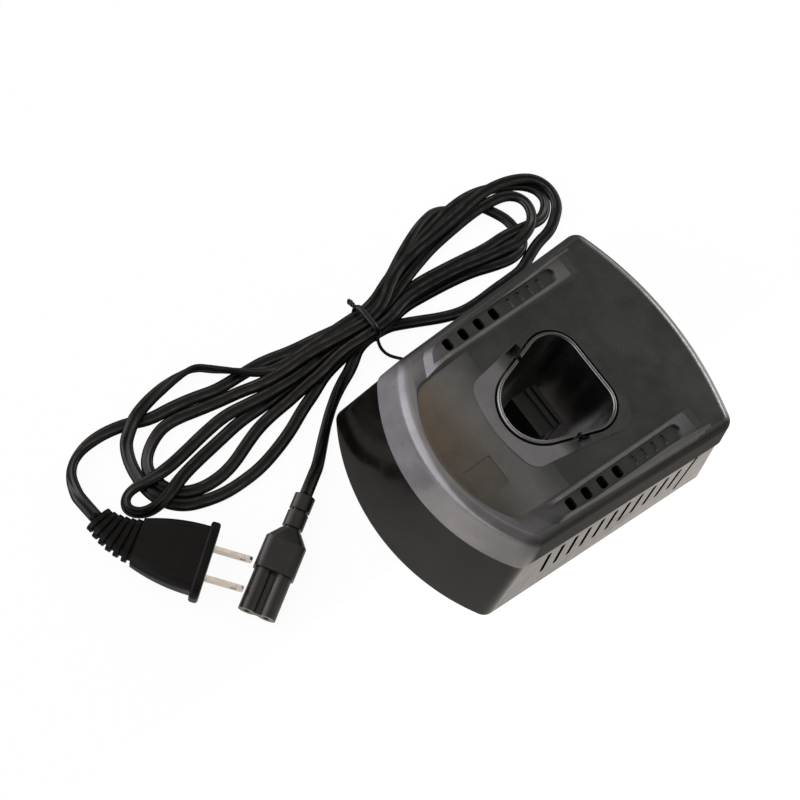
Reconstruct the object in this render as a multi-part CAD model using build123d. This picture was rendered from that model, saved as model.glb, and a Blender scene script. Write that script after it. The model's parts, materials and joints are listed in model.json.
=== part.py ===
from build123d import *
import math
import os

# Bench charger for a stem-type cordless tool battery, with its mains lead tied in a hank beside it.
# Millimetres, +Z up.
# Origin: middle of the casing's footprint, on the surface the charger stands on.
# The front, with the bowed lip and the recessed square, faces -Y.

# ---------------------------------------------------------------- casing: plan and drafts
CASE_FRONT_HALF = 55.6      # half width at the front corners, at the underside
CASE_REAR_HALF = 62.9       # half width at the rear corners, at the underside
CASE_FRONT_Y = -61.5        # line of the front corners
CASE_REAR_Y = 68.5          # line of the rear corners
FRONT_BOW = 17.0            # how far the front wall bows out past its corners
REAR_BOW = 10.0
CASE_CORNER_R = 6.0
SIDE_DRAFT = 0.159           # inward lean per unit of height
FRONT_DRAFT = 0.22
REAR_DRAFT = 0.19

# ---------------------------------------------------------------- casing: heights and walls
STAND = 1.5                 # the feet hold the underside this far off the table
PARTING_Z = 46.0            # where the cover meets the housing
DECK_Z = 65.5               # smooth top surface
RAIL_RISE = 3.5             # rails and front lip stand this far above the deck
WALL = 2.4
FLOOR_THICK = 2.6
UNDERSIDE_R = 1.0
COVER_OVERHANG = 0.8        # the cover's edge stands out past the housing all round
DECK_EDGE_R = 5.0

# ---------------------------------------------------------------- cover: lip, rails, channel
LIP_ROUND_FRONT = 22.0      # how far the front shoulder rolls back towards the top
LIP_ROUND_SIDE = 5.0
LIP_ROUND_REAR = 5.0
LIP_STATIONS = 6            # sections through the rolled shoulder
LIP_BOW_LOSS = 5.0          # the front bow flattens by this much towards the top
CHANNEL_HALF = 34.8         # half width of the channel between the rails, at deck level
CHANNEL_SPLAY = 0.025       # the rails stand apart by this much more per unit of length
CHANNEL_FRONT_Y = -58.5     # front-most point of the channel
CHANNEL_BOW = 10.0
CHANNEL_CORNER_R = 4.0
CHANNEL_WALL_LEAN = 22.0    # degrees
RAMP_DROP = 4.8             # the channel's floor falls this far at its front
RAMP_START_Y = -22.0
RAMP_POWER = 1.7            # how the floor curves away from the level deck
RAIL_END_Y = 46.5           # rear end of the rails
RAIL_STEPS = 2              # low steps that end each rail
RAIL_STEP_PITCH = 4.2
RAIL_STEP_DROP = 1.2

# ---------------------------------------------------------------- cover: rail troughs and vents
TROUGH_X = 41.0             # middle of each trough
TROUGH_W = 7.0
TROUGH_FRONT_Y = -44.0
TROUGH_REAR_Y = 33.5
TROUGH_DEPTH = 1.8
VENT_COUNT = 4
VENT_FIRST_Y = -26.3
VENT_PITCH = 8.4
VENT_L = 5.2                # across the rail
VENT_W = 3.8                # along the rail
VENT_R = 1.3
BLIND_COUNT = 4             # shallow pockets behind the open vents
BLIND_PITCH = 5.6
BLIND_W = 3.4
BLIND_DEPTH = 0.9

# ---------------------------------------------------------------- cover: recessed square
EMBLEM_X = 12.5
EMBLEM_Y = -47.5
EMBLEM_SIDE = 13.5
EMBLEM_DEPTH = 0.7
EMBLEM_R = 1.0

# ---------------------------------------------------------------- battery opening and well
STEM_REAR_Y = 18.3          # flat rear side of the opening
STEM_REAR_R = 11.0
STEM_NOSE_R = 16.4          # the round front
STEM_NOSE_Y = -9.8          # its centre
STEM_SPLAY = 18.0           # degrees; each flank runs outwards to the rear by this
WELL_WALL = 1.6
WELL_FLOOR_Z = 24.0         # inside floor of the well
WELL_FLOOR_THICK = 2.0
WELL_RIM_RISE = 0.6         # the rim stands above the collar
WELL_RIM_R = 0.7
WELL_GAP = 0.9              # between the rim and the collar
COLLAR_REAR_Y = 24.0
COLLAR_REAR_HALF = 31.0
COLLAR_FRONT_Y = -29.0
COLLAR_FRONT_HALF = 21.5
COLLAR_BOW = 4.2
COLLAR_REAR_R = 12.0
COLLAR_FRONT_R = 7.0
COLLAR_RISE = 0.8
COLLAR_LEAN = 25.0          # degrees
COLLAR_DIP_Y = -14.0        # the collar's top slopes down in front of this line
COLLAR_DIP = 0.05           # by this much per unit of length
KEY_Y = -5.2                # the two key slots beside the opening
KEY_NECK_W = 2.2
KEY_BAR_X = 23.4
KEY_BAR_W = 3.2
KEY_BAR_L = 7.0
KEY_DEPTH = 6.0
KEY_WALL = 1.2
SKIRT_Z = 61.0              # lower edge of the skirt round the opening
EAR_R = 3.8
EAR_THICK = 2.6
EAR_Z = 56.0
EAR_FRONT_Y = -11.0
EAR_REAR_Y = 3.0
EAR_REACH = 3.6             # ear centre past the well's outer wall

# ---------------------------------------------------------------- contact block
BLOCK_W = 20.0
BLOCK_FRONT_Y = -11.0
BLOCK_DEPTH = 14.5
BLOCK_TOP_Z = 50.0
BLOCK_GAP = 0.8             # round the tower, in the well's floor
BLOCK_RIDGE_W = 2.0
BLOCK_RIDGE_RISE = 1.6
BLOCK_STEP_AT = 9.6         # the lower rear step begins this far behind the tower's front
BLOCK_STEP_DROP = 3.0
BLOCK_BASE_MARGIN = 3.0
CONTACT_W = 4.2
CONTACT_T = 0.8
CONTACT_PROUD = 0.5
CONTACT_TOP_GAP = 4.0
CONTACT_HEEL = 3.0          # straight stretch above the well's floor and below the strip's top
CONTACT_PLAY = 0.1
SENSOR_W = 3.0

# ---------------------------------------------------------------- side slots
SLOT_COUNT = 11
SLOT_PITCH = 7.3
SLOT_FIRST_Y = -34.5
SLOT_W = 2.2
SLOT_LOW_Z = 18.5
SLOT_HIGH_Z = 38.5
GROOVE_Y = 46.5             # upright groove in each side wall, in line with the rails' end
GROOVE_W = 1.8
GROOVE_DEPTH = 0.9
GROOVE_LOW_Z = 9.0

# ---------------------------------------------------------------- fastening
BOSS_R = 3.8
BOSS_FRONT_X = 37.0
BOSS_FRONT_Y = -50.0
BOSS_REAR_X = 46.5
BOSS_REAR_Y = 54.0
CASE_SCREW_R = 1.6
CASE_SCREW_HEAD_R = 2.9
CASE_SCREW_HEAD_H = 2.2
CASE_SCREW_RECESS_TOP = 34.0
CASE_SCREW_BITE = 11.0
SMALL_SCREW_R = 1.4         # board and ear screws
SMALL_SCREW_HEAD_R = 2.6
SMALL_SCREW_HEAD_H = 1.7
BOARD_SCREW_BITE = 3.9      # into the standoff
EAR_SCREW_BITE = 4.8        # into the cover's post
SCREW_CLEAR = 0.25          # round a shank that passes through
PILOT_GAP = 0.05            # the solids stay this far apart where a screw cuts its own thread
SCREW_DRIVE_SHARE = 0.45    # arm of the cross recess, as a share of the head's radius
SCREW_DRIVE_W = 0.9
SCREW_DRIVE_DEPTH = 1.2
SCREW_EDGE = 0.5

# ---------------------------------------------------------------- feet and wall hanging
FOOT_R = 6.0
FOOT_FRONT_X = 43.0
FOOT_FRONT_Y = -36.0
FOOT_REAR_X = 47.0
FOOT_REAR_Y = 40.0
FOOT_SEAT_DEPTH = 1.0
FOOT_GAP = 0.15
FOOT_EDGE_R = 0.5
KEYHOLE_SPACING = 60.0
KEYHOLE_HEAD_R = 4.6
KEYHOLE_SHANK_R = 2.3
KEYHOLE_TRAVEL = 8.0

# ---------------------------------------------------------------- circuit board and what it carries
BOARD_Z = 9.1               # underside of the board
BOARD_THICK = 1.6
BOARD_HALF = 39.0
BOARD_FRONT_Y = -44.0
BOARD_REAR_Y = 55.0
BOARD_R = 2.0
STANDOFF_R = 3.2
STANDOFF_INSET = 4.5
CORE_W = 41.0
CORE_H = 34.0
CORE_DEPTH = 14.0
CORE_LEG = 13.5
CORE_YOKE = 6.8
CORE_PLAY = 0.2
TRANSFORMER_Y = 37.5
BOBBIN_FLANGE = 1.2
BOBBIN_WALL = 0.9
BOBBIN_FOOT = 1.5           # the core stands this far off the board
WINDING_DEPTH = 4.5         # in front of the core and behind it
WINDING_INSET = 0.4
WINDING_EDGE_R = 1.5
MAINS_CAP_R = 8.0
MAINS_CAP_H = 30.0
MAINS_CAP_X = -24.0
MAINS_CAP_Y = -33.0
OUTPUT_CAP_R = 5.0
OUTPUT_CAP_H = 20.0
OUTPUT_CAP_COUNT = 2
OUTPUT_CAP_X = 12.0
OUTPUT_CAP_PITCH = 12.0
OUTPUT_CAP_Y = -36.0
CAP_EDGE_R = 0.8
CAP_CRIMP_Z = 3.0           # the rolled crimp above the can's foot
CAP_CRIMP_R = 0.6
CHOKE_R = 8.0
CHOKE_HOLE_R = 3.6
CHOKE_THICK = 9.0
CHOKE_EDGE_R = 1.5
CHOKE_X = -30.0
CHOKE_Y = 30.0
SINK_LENGTH = 34.0
SINK_HEIGHT = 24.0
SINK_BASE = 2.5
SINK_FIN = 1.4
SINK_FIN_COUNT = 5
SINK_FIN_REACH = 5.5
SINK_X = 34.0
SINK_Y = 2.0
CHIP_W = 10.0
CHIP_H = 15.0
CHIP_T = 4.4
CHIP_LIFT = 4.0             # the chip stands on its legs this far above the board
CHIP_LEGS = 3
CHIP_LEG_PITCH = 2.54
CHIP_LEG_W = 0.8
FUSE_R = 2.6
FUSE_L = 20.0
FUSE_CAP_L = 5.0
FUSE_CAP_WALL = 0.4
FUSE_X = 31.0
FUSE_Y = 33.0

# ---------------------------------------------------------------- figure-eight inlet
INLET_Z = 24.0
INLET_PITCH = 8.6           # between the two pins
INLET_LOBE_R = 4.2
INLET_FLANGE_W = 24.0
INLET_FLANGE_H = 14.0
INLET_FLANGE_R = 2.0
INLET_FLANGE_T = 2.5
INLET_SHOULDER = 1.6        # the flange stands out past the body by this
INLET_DEPTH = 12.5          # of the recess that takes the connector
INLET_BACK = 2.5
INLET_FACE_Y = 72.0
INLET_GAP = 0.3
INLET_PIN_R = 1.18
INLET_PIN_TIP_R = 0.8       # rounding of the tip
INLET_PIN_L = 9.0           # in the recess
INLET_TAIL = 3.5
POCKET_WALL = 2.0           # of the housing's tube round the inlet
POCKET_FRONT_Y = 60.0
LEAD_R = 1.1
LEAD_BEND_R = 2.8
LEAD_DROP = 3.0             # the leads turn down this far in front of the pins' tails

# ---------------------------------------------------------------- mains lead: plug
# The lead lies on the table, so each height below is of a middle line above it.
CORD_W = 5.7                # flat two-core cord
CORD_T = 2.9
PLUG_SPOT = (-52.8, -165.2) # where the relief joins the plug's body
PLUG_TURN = 39.0            # degrees, the way the blades point
PLUG_NECK_W = 20.0
PLUG_NECK_H = 12.0
PLUG_GRIP_W = 28.5
PLUG_GRIP_H = 15.0
PLUG_SIDE_BELLY = 1.2       # the sides bulge half-way along by this
PLUG_BODY_L = 26.5
PLUG_EDGE_R = 4.0
PLUG_FLANGE_W = 33.5
PLUG_FLANGE_H = 17.0
PLUG_FLANGE_T = 4.0
PLUG_FLANGE_R = 6.0
PLUG_FLANGE_EDGE_R = 1.2
RELIEF_L = 19.0
RELIEF_BEND = 30.0          # degrees, over its whole length
RELIEF_RIBS = 6
RELIEF_RIB_T = 2.0
RELIEF_TIP_W = 12.0
RELIEF_TIP_H = 8.5
RELIEF_RIB_RISE = 1.3       # ribs over the core
RELIEF_ROUND = 0.48         # corner radius of the relief's sections, as a share of their height
BLADE_PITCH = 12.7
BLADE_W = 6.35
BLADE_T = 1.5
BLADE_L = 16.5
BLADE_HOLE_R = 1.6
BLADE_HOLE_BACK = 4.2       # hole's middle from the tip
BLADE_TIP = 1.2             # chamfer at the tip

# ---------------------------------------------------------------- mains lead: connector
CONNECTOR_SPOT = (-31.0, -95.5)
CONNECTOR_TURN = -56.9      # degrees, the way the sockets face
CONNECTOR_RELIEF_L = 16.5
CONNECTOR_RELIEF_RIBS = 2
CONNECTOR_RELIEF_W = 9.2
CONNECTOR_RELIEF_H = 6.8
CONNECTOR_RIB_GAP = 1.4
CONNECTOR_SHOULDER_L = 6.0
CONNECTOR_GRIP_L = 14.0
CONNECTOR_GRIP_W = 18.0
CONNECTOR_GRIP_H = 11.0
CONNECTOR_GRIP_R = 3.6
CONNECTOR_NOSE_L = 18.5
CONNECTOR_FIT = 0.3         # the nose is smaller than the inlet's recess by this all round
SOCKET_HOLE_R = 1.4
TERMINAL_R = 1.8
TERMINAL_L = 9.0
TERMINAL_SET_BACK = 1.5

# ---------------------------------------------------------------- mains lead: cord, hank and tie
CORD_EXIT = 11.0            # the cord leaves each relief straight for this far
PLUG_CORD = [(-91.2, -173.2, 5.6), (-98.4, -167.2, 3.1), (-102.6, -158.6, 2.0),
             (-103.6, -149.0, 2.2), (-100.8, -140.0, 2.6), (-95.0, -132.6, 3.1)]
CONNECTOR_CORD = [(-43.0, -78.2, 3.4), (-49.8, -70.6, 1.9), (-56.8, -63.4, 1.9),
                  (-63.6, -54.6, 1.9), (-70.8, -44.4, 2.1), (-78.4, -34.4, 3.2)]
CORD_RUN_SHARE = 0.45       # of the shorter run, taken up by the arc at each point
HANK_HEIGHT = 6.4
HANK_EDGE_R = 2.0
HANK_LOWER = [((-90.5, -127.0), 18.0), ((-65.0, -151.0), 6.4), ((-66.5, -121.0), 14.5)]
HANK_UPPER = [((-97.5, 52.0), 16.5), ((-95.5, 84.0), 17.0), ((-82.0, 76.0), 13.0), ((-69.8, 50.0), 6.0)]
TIE_SPOT = (-82.8, -24.2)
TIE_TURN = 2.0              # degrees, across the bundle
BUNDLE_W = 16.5             # of the strands where they are tied
BUNDLE_H = 10.5
BUNDLE_R = 4.5
BUNDLE_L = 26.0
TIE_T = 1.2
TIE_W = 2.6
TIE_KNOT_R = 2.4
TIE_KNOT_L = 5.0
TIE_TAIL_R = 0.65
TIE_TAIL_BEND_R = 1.8
TIE_TAIL = [(-75.0, -24.0, 6.5), (-71.4, -24.6, 3.2), (-66.4, -23.2, 1.3), (-60.4, -17.8, 1.0)]

os.makedirs("parts", exist_ok=True)

HOUSING_FLOOR = STAND + FLOOR_THICK
BOARD_TOP = BOARD_Z + BOARD_THICK
COVER_INSET = SIDE_DRAFT * PARTING_Z - COVER_OVERHANG
COLLAR_Z = DECK_Z + COLLAR_RISE
RIM_Z = COLLAR_Z + WELL_RIM_RISE
RAIL_Z = DECK_Z + RAIL_RISE
ABOVE = RAIL_Z + CASE_REAR_Y        # clear of everything, for cutters
THROUGH = 2 * ABOVE                 # longer than the casing is deep, for cutters
WELL_UNDERSIDE = WELL_FLOOR_Z - WELL_FLOOR_THICK
BLOCK_Y = BLOCK_FRONT_Y + BLOCK_DEPTH / 2
CASE_SCREW_HOLE_R = CASE_SCREW_R + SCREW_CLEAR
CASE_SCREW_RECESS_R = CASE_SCREW_HEAD_R + SCREW_CLEAR
CORE_LOW = BOARD_TOP + BOBBIN_FOOT
CORE_WINDOW_W = (CORE_W - CORE_LEG) / 2 - CORE_YOKE
CORE_WINDOW_H = CORE_H - 2 * CORE_YOKE
INLET_BACK_Y = INLET_FACE_Y - INLET_DEPTH - INLET_BACK
PLUG_Z = PLUG_FLANGE_H / 2
CONNECTOR_Z = CONNECTOR_GRIP_H / 2


# ================================================================ shared helpers
def bowed_plan(height, side, front, rear, front_bow, rear_bow, corner):
    """Trapezoid plan with bowed ends at a height, drawn in from the casing's lines."""
    front_half = CASE_FRONT_HALF - side
    rear_half = CASE_REAR_HALF - side
    front_y = CASE_FRONT_Y + front
    rear_y = CASE_REAR_Y - rear
    face = make_face([
        ThreePointArc((-front_half, front_y), (0, front_y - front_bow), (front_half, front_y)),
        Line((front_half, front_y), (rear_half, rear_y)),
        ThreePointArc((rear_half, rear_y), (0, rear_y + rear_bow), (-rear_half, rear_y)),
        Line((-rear_half, rear_y), (-front_half, front_y)),
    ])
    return Pos(0, 0, height) * fillet(face.vertices(), corner)


def drafted_plan(height, inset):
    """The housing's plan at a height, drawn in all round by an inset beyond its draft."""
    return bowed_plan(
        height,
        SIDE_DRAFT * height + inset,
        FRONT_DRAFT * height + inset,
        REAR_DRAFT * height + inset,
        FRONT_BOW,
        REAR_BOW,
        CASE_CORNER_R - min(inset, WALL),
    )


def stem_touch():
    """Where the opening's round front meets its straight right flank."""
    splay = math.radians(STEM_SPLAY)
    return STEM_NOSE_R * math.cos(splay), STEM_NOSE_Y - STEM_NOSE_R * math.sin(splay)


def stem_half_width(y):
    """Half width of the opening's straight flank at a distance along the casing."""
    touch_x, touch_y = stem_touch()
    return touch_x + (y - touch_y) * math.tan(math.radians(STEM_SPLAY))


def stem_plan(grow):
    """The battery opening's plan, grown by a clearance or a wall: round front, flat rear."""
    touch_x, touch_y = stem_touch()
    rear_half = stem_half_width(STEM_REAR_Y)
    plan = make_face([
        ThreePointArc((-touch_x, touch_y), (0, STEM_NOSE_Y - STEM_NOSE_R), (touch_x, touch_y)),
        Line((touch_x, touch_y), (rear_half, STEM_REAR_Y)),
        Line((rear_half, STEM_REAR_Y), (-rear_half, STEM_REAR_Y)),
        Line((-rear_half, STEM_REAR_Y), (-touch_x, touch_y)),
    ])
    plan = fillet(plan.vertices().sort_by(Axis.Y)[-2:], STEM_REAR_R)
    if grow:
        plan = offset(plan, amount=grow)
    return plan


def prism(face, low, high):
    """A plan extruded from one height to another."""
    return extrude(Pos(0, 0, low) * face, amount=high - low)


def post(x, y, radius, low, high):
    """An upright cylinder between two heights."""
    return Pos(x, y, low) * Cylinder(radius, high - low, align=(Align.CENTER, Align.CENTER, Align.MIN))


def block(x, y, low, width, depth, height):
    """A box by its middle in plan and its underside."""
    return Pos(x, y, low) * Box(width, depth, height, align=(Align.CENTER, Align.CENTER, Align.MIN))


def both_sides(solid):
    """A piece and its mirror image across the middle plane."""
    return solid + mirror(solid, about=Plane.YZ)


def rail_turned(solid):
    """A feature of the right rail, turned with the rail's splay."""
    return Rot(0, 0, -math.degrees(math.atan(CHANNEL_SPLAY))) * solid


def screw(shank_r, head_r, head_h, length):
    """Pan-head screw pointing up: its head bears at the origin and has a cross recess."""
    solid = post(0, 0, head_r, -head_h, 0)
    solid = fillet(solid.edges().sort_by(Axis.Z)[0], head_h / 2)
    shank = post(0, 0, shank_r, 0, length)
    solid += chamfer(shank.edges().sort_by(Axis.Z)[-1], SCREW_EDGE)
    arm = 2 * SCREW_DRIVE_SHARE * head_r
    for width, depth in ((arm, SCREW_DRIVE_W), (SCREW_DRIVE_W, arm)):
        solid -= block(0, 0, -head_h, width, depth, SCREW_DRIVE_DEPTH)
    return solid


def figure_eight(lobe_r):
    """Two round lobes at the pins' pitch and the neck between them."""
    plan = Rectangle(INLET_PITCH, lobe_r)
    for sx in (-1, 1):
        plan += Pos(sx * INLET_PITCH / 2, 0) * Circle(lobe_r)
    return plan


def save(piece, name):
    """Write one piece, or a set of equal pieces, to its own file."""
    if isinstance(piece, list):
        piece = Part() + piece
    piece.label = name
    export_step(piece, f"parts/{name}.step")


BOSS_SPOTS = [(sx * x, y) for x, y in ((BOSS_FRONT_X, BOSS_FRONT_Y), (BOSS_REAR_X, BOSS_REAR_Y))
              for sx in (-1, 1)]
STANDOFF_SPOTS = [(sx * (BOARD_HALF - STANDOFF_INSET), y)
                  for y in (BOARD_FRONT_Y + STANDOFF_INSET, BOARD_REAR_Y - STANDOFF_INSET)
                  for sx in (-1, 1)]
FOOT_SPOTS = [(sx * x, y) for x, y in ((FOOT_FRONT_X, FOOT_FRONT_Y), (FOOT_REAR_X, FOOT_REAR_Y))
              for sx in (-1, 1)]
EAR_SPOTS = [(sx * (stem_half_width(y) + WELL_WALL + EAR_REACH), y)
             for y in (EAR_FRONT_Y, EAR_REAR_Y) for sx in (-1, 1)]


# ================================================================ lower housing
def side_slots():
    """Upright round-ended slots through both side walls."""
    middle = (SLOT_LOW_Z + SLOT_HIGH_Z) / 2
    blank = SlotOverall(SLOT_HIGH_Z - SLOT_LOW_Z, SLOT_W, rotation=90)
    cutter = extrude(Plane.YZ * Pos(0, middle) * blank, amount=CASE_REAR_HALF)
    keep_clear = block(0, 0, 0, 2 * (BOARD_HALF + WALL), THROUGH, ABOVE)
    slots = [Pos(0, SLOT_FIRST_Y + i * SLOT_PITCH, 0) * cutter for i in range(SLOT_COUNT)]
    return [both_sides(slot - keep_clear) for slot in slots]


def housing_outer(inset):
    """The housing's drafted outside, drawn in by an inset."""
    return loft([drafted_plan(STAND, inset), drafted_plan(PARTING_Z, inset)], ruled=True)


def housing_shell():
    """Drafted tub with the upright grooves in its side walls."""
    outer = housing_outer(0)
    outer = fillet(outer.faces().sort_by(Axis.Z)[0].edges(), UNDERSIDE_R)
    band = block(0, GROOVE_Y, GROOVE_LOW_Z, 4 * CASE_REAR_HALF, GROOVE_W, PARTING_Z)
    outer -= band - housing_outer(GROOVE_DEPTH)
    inner = loft([drafted_plan(HOUSING_FLOOR, WALL), drafted_plan(PARTING_Z + WALL, WALL)], ruled=True)
    return outer - inner


def rear_prism(face, outer_y, depth):
    """A plan seen from the rear at the inlet's height, extruded forwards from a line."""
    seat = Plane(origin=(0, outer_y, INLET_Z), x_dir=(1, 0, 0), z_dir=(0, -1, 0))
    return extrude(seat * face, amount=depth)


def flange_plan(grow):
    """The inlet's flange, grown by a clearance or a wall."""
    return RectangleRounded(INLET_FLANGE_W + 2 * grow, INLET_FLANGE_H + 2 * grow, INLET_FLANGE_R + grow)


def inlet_body_plan(grow):
    """The inlet's body behind its flange, grown by a clearance."""
    return flange_plan(grow - INLET_SHOULDER)


def keyhole(x):
    """Hanging slot through the floor: a screw head's hole that runs rearwards into a shank's slot."""
    slot = post(x, -KEYHOLE_TRAVEL / 2, KEYHOLE_HEAD_R, 0, HOUSING_FLOOR)
    slot += post(x, KEYHOLE_TRAVEL / 2, KEYHOLE_SHANK_R, 0, HOUSING_FLOOR)
    return slot + block(x, 0, 0, 2 * KEYHOLE_SHANK_R, KEYHOLE_TRAVEL, HOUSING_FLOOR)


def lower_housing():
    """Tub with slots, screw posts, board standoffs, foot seats, keyholes and the inlet's pocket."""
    body = housing_shell()
    boss_wall = BOSS_R - CASE_SCREW_R
    for x, y in BOSS_SPOTS:
        body += post(x, y, CASE_SCREW_RECESS_R + boss_wall, STAND + UNDERSIDE_R, PARTING_Z)
    for x, y in STANDOFF_SPOTS:
        body += post(x, y, STANDOFF_R, HOUSING_FLOOR, BOARD_Z)
    reach = CASE_REAR_Y + REAR_BOW
    pocket = rear_prism(flange_plan(INLET_GAP + POCKET_WALL), reach, reach - POCKET_FRONT_Y)
    body += pocket & housing_outer(UNDERSIDE_R)
    body -= rear_prism(inlet_body_plan(INLET_GAP), reach, reach - POCKET_FRONT_Y)
    seat_y = INLET_FACE_Y - INLET_FLANGE_T
    body -= rear_prism(flange_plan(INLET_GAP), reach, reach - seat_y)
    for x, y in BOSS_SPOTS:
        body -= post(x, y, CASE_SCREW_HOLE_R, 0, ABOVE)
        body -= post(x, y, CASE_SCREW_RECESS_R, 0, CASE_SCREW_RECESS_TOP)
    for x, y in STANDOFF_SPOTS:
        body -= post(x, y, SMALL_SCREW_R + PILOT_GAP, BOARD_Z - BOARD_SCREW_BITE - PILOT_GAP, BOARD_Z)
    for x, y in FOOT_SPOTS:
        body -= post(x, y, FOOT_R + FOOT_GAP, 0, STAND + FOOT_SEAT_DEPTH)
    for sx in (-1, 1):
        body -= keyhole(sx * KEYHOLE_SPACING / 2)
    for slot in side_slots():
        body -= slot
    return body


# ================================================================ top cover
def shoulder_section(share, inset):
    """Cover plan part of the way up its rolled shoulder; share runs from 0 to 1."""
    height = PARTING_Z + share * (RAIL_Z - PARTING_Z)
    roll = 1 - math.sqrt(max(0.0, 1 - share * share))
    rise = height - PARTING_Z
    return bowed_plan(
        height,
        COVER_INSET + SIDE_DRAFT * rise + LIP_ROUND_SIDE * roll + inset,
        FRONT_DRAFT * height - COVER_OVERHANG + LIP_ROUND_FRONT * roll + inset,
        REAR_DRAFT * height - COVER_OVERHANG + LIP_ROUND_REAR * roll + inset,
        FRONT_BOW - LIP_BOW_LOSS * share,
        REAR_BOW,
        CASE_CORNER_R - inset / 2,
    )


def shoulder_body(inset):
    """Smooth body under the rolled shoulder that carries the lip and the rails."""
    shares = [math.sin(math.pi / 2 * i / (LIP_STATIONS - 1)) for i in range(LIP_STATIONS)]
    return loft([shoulder_section(share, inset) for share in shares])


def deck_plan(height, inset, sink):
    """Plan of the drafted body below the deck, at a height and then sunk."""
    return bowed_plan(
        height - sink,
        COVER_INSET + SIDE_DRAFT * (height - PARTING_Z) + inset,
        FRONT_DRAFT * height - COVER_OVERHANG + inset,
        REAR_DRAFT * height - COVER_OVERHANG + inset,
        FRONT_BOW, REAR_BOW, CASE_CORNER_R - inset / 2)


def deck_body(inset, sink):
    """Drafted body below the smooth deck, with its rounded top edge."""
    body = loft([deck_plan(PARTING_Z, inset, sink), deck_plan(DECK_Z, inset, sink)], ruled=True)
    return fillet(body.faces().sort_by(Axis.Z)[-1].edges(), DECK_EDGE_R - inset / 2)


def channel_floor(y):
    """Height of the channel's floor: level behind the ramp's start, then a falling curve."""
    share = max(0.0, (RAMP_START_Y - y) / (RAMP_START_Y - CHANNEL_FRONT_Y))
    return DECK_Z - RAMP_DROP * share ** RAMP_POWER


def channel_void(sink):
    """What the channel takes out between the rails and behind the lip, down to its ramped floor."""
    low = DECK_Z - 2 * RAMP_DROP
    shrink = 2 * RAMP_DROP * math.tan(math.radians(CHANNEL_WALL_LEAN))
    far = 2 * CASE_REAR_Y
    front_half = CHANNEL_HALF + CHANNEL_SPLAY * (CHANNEL_FRONT_Y + CHANNEL_BOW) - shrink
    rear_half = CHANNEL_HALF + CHANNEL_SPLAY * far - shrink
    front_y = CHANNEL_FRONT_Y + CHANNEL_BOW + shrink / 2
    plan = make_face([
        ThreePointArc((-front_half, front_y), (0, front_y - CHANNEL_BOW), (front_half, front_y)),
        Line((front_half, front_y), (rear_half, far)),
        Line((rear_half, far), (-rear_half, far)),
        Line((-rear_half, far), (-front_half, front_y)),
    ])
    plan = fillet(plan.vertices().sort_by(Axis.Y)[:2], CHANNEL_CORNER_R)
    walls = extrude(Pos(0, 0, low) * plan, amount=RAIL_Z + RAIL_RISE - low, taper=-CHANNEL_WALL_LEAN)
    middle_y = (RAMP_START_Y + CHANNEL_FRONT_Y) / 2
    near_y = 2 * CHANNEL_FRONT_Y
    ramp_side = make_face([
        ThreePointArc((RAMP_START_Y, DECK_Z), (middle_y, channel_floor(middle_y)),
                      (CHANNEL_FRONT_Y, DECK_Z - RAMP_DROP)),
        Line((CHANNEL_FRONT_Y, DECK_Z - RAMP_DROP), (near_y, low)),
        Line((near_y, low), (near_y, ABOVE)),
        Line((near_y, ABOVE), (far, ABOVE)),
        Line((far, ABOVE), (far, DECK_Z)),
        Line((far, DECK_Z), (RAMP_START_Y, DECK_Z)),
    ])
    above_floor = extrude(Plane.YZ * ramp_side, amount=2 * CASE_REAR_HALF, both=True)
    return Pos(0, 0, -sink) * (walls & above_floor)


def stepped_rails():
    """Rail and lip body, ended at the rear by low steps."""
    body = shoulder_body(0)
    length = THROUGH
    rails = None
    for step in range(RAIL_STEPS + 1):
        end = RAIL_END_Y - (RAIL_STEPS - step) * RAIL_STEP_PITCH
        window = block(0, end - length / 2, -ABOVE, 4 * CASE_REAR_HALF, length, 2 * ABOVE)
        piece = (Pos(0, 0, -step * RAIL_STEP_DROP) * body) & window
        rails = piece if rails is None else rails + piece
    return rails & block(0, 0, PARTING_Z, 4 * CASE_REAR_HALF, length, ABOVE)


def collar():
    """Raised land round the opening, which stands proud where the ramp falls away from it."""
    low = DECK_Z - RAMP_DROP
    plan = make_face([
        ThreePointArc((-COLLAR_FRONT_HALF, COLLAR_FRONT_Y), (0, COLLAR_FRONT_Y - COLLAR_BOW),
                      (COLLAR_FRONT_HALF, COLLAR_FRONT_Y)),
        Line((COLLAR_FRONT_HALF, COLLAR_FRONT_Y), (COLLAR_REAR_HALF, COLLAR_REAR_Y)),
        Line((COLLAR_REAR_HALF, COLLAR_REAR_Y), (-COLLAR_REAR_HALF, COLLAR_REAR_Y)),
        Line((-COLLAR_REAR_HALF, COLLAR_REAR_Y), (-COLLAR_FRONT_HALF, COLLAR_FRONT_Y)),
    ])
    corners = plan.vertices().sort_by(Axis.Y)
    plan = fillet(corners[:2], COLLAR_FRONT_R)
    plan = fillet(plan.vertices().sort_by(Axis.Y)[-2:], COLLAR_REAR_R)
    land = prism(plan, low, DECK_Z)
    land += extrude(Pos(0, 0, DECK_Z) * plan, amount=COLLAR_RISE, taper=COLLAR_LEAN)
    reach = 2 * CASE_REAR_Y
    slope = math.degrees(math.atan(COLLAR_DIP))
    dip = Pos(0, COLLAR_DIP_Y, COLLAR_Z) * Rot(slope, 0, 0) * Box(
        reach, reach, ABOVE, align=(Align.CENTER, Align.MAX, Align.MIN))
    return land - dip


def key_neck(grow):
    """Neck of the right key slot, from inside the opening out to the bar."""
    return Pos(KEY_BAR_X / 2, KEY_Y) * Rectangle(KEY_BAR_X + 2 * grow, KEY_NECK_W + 2 * grow)


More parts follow.
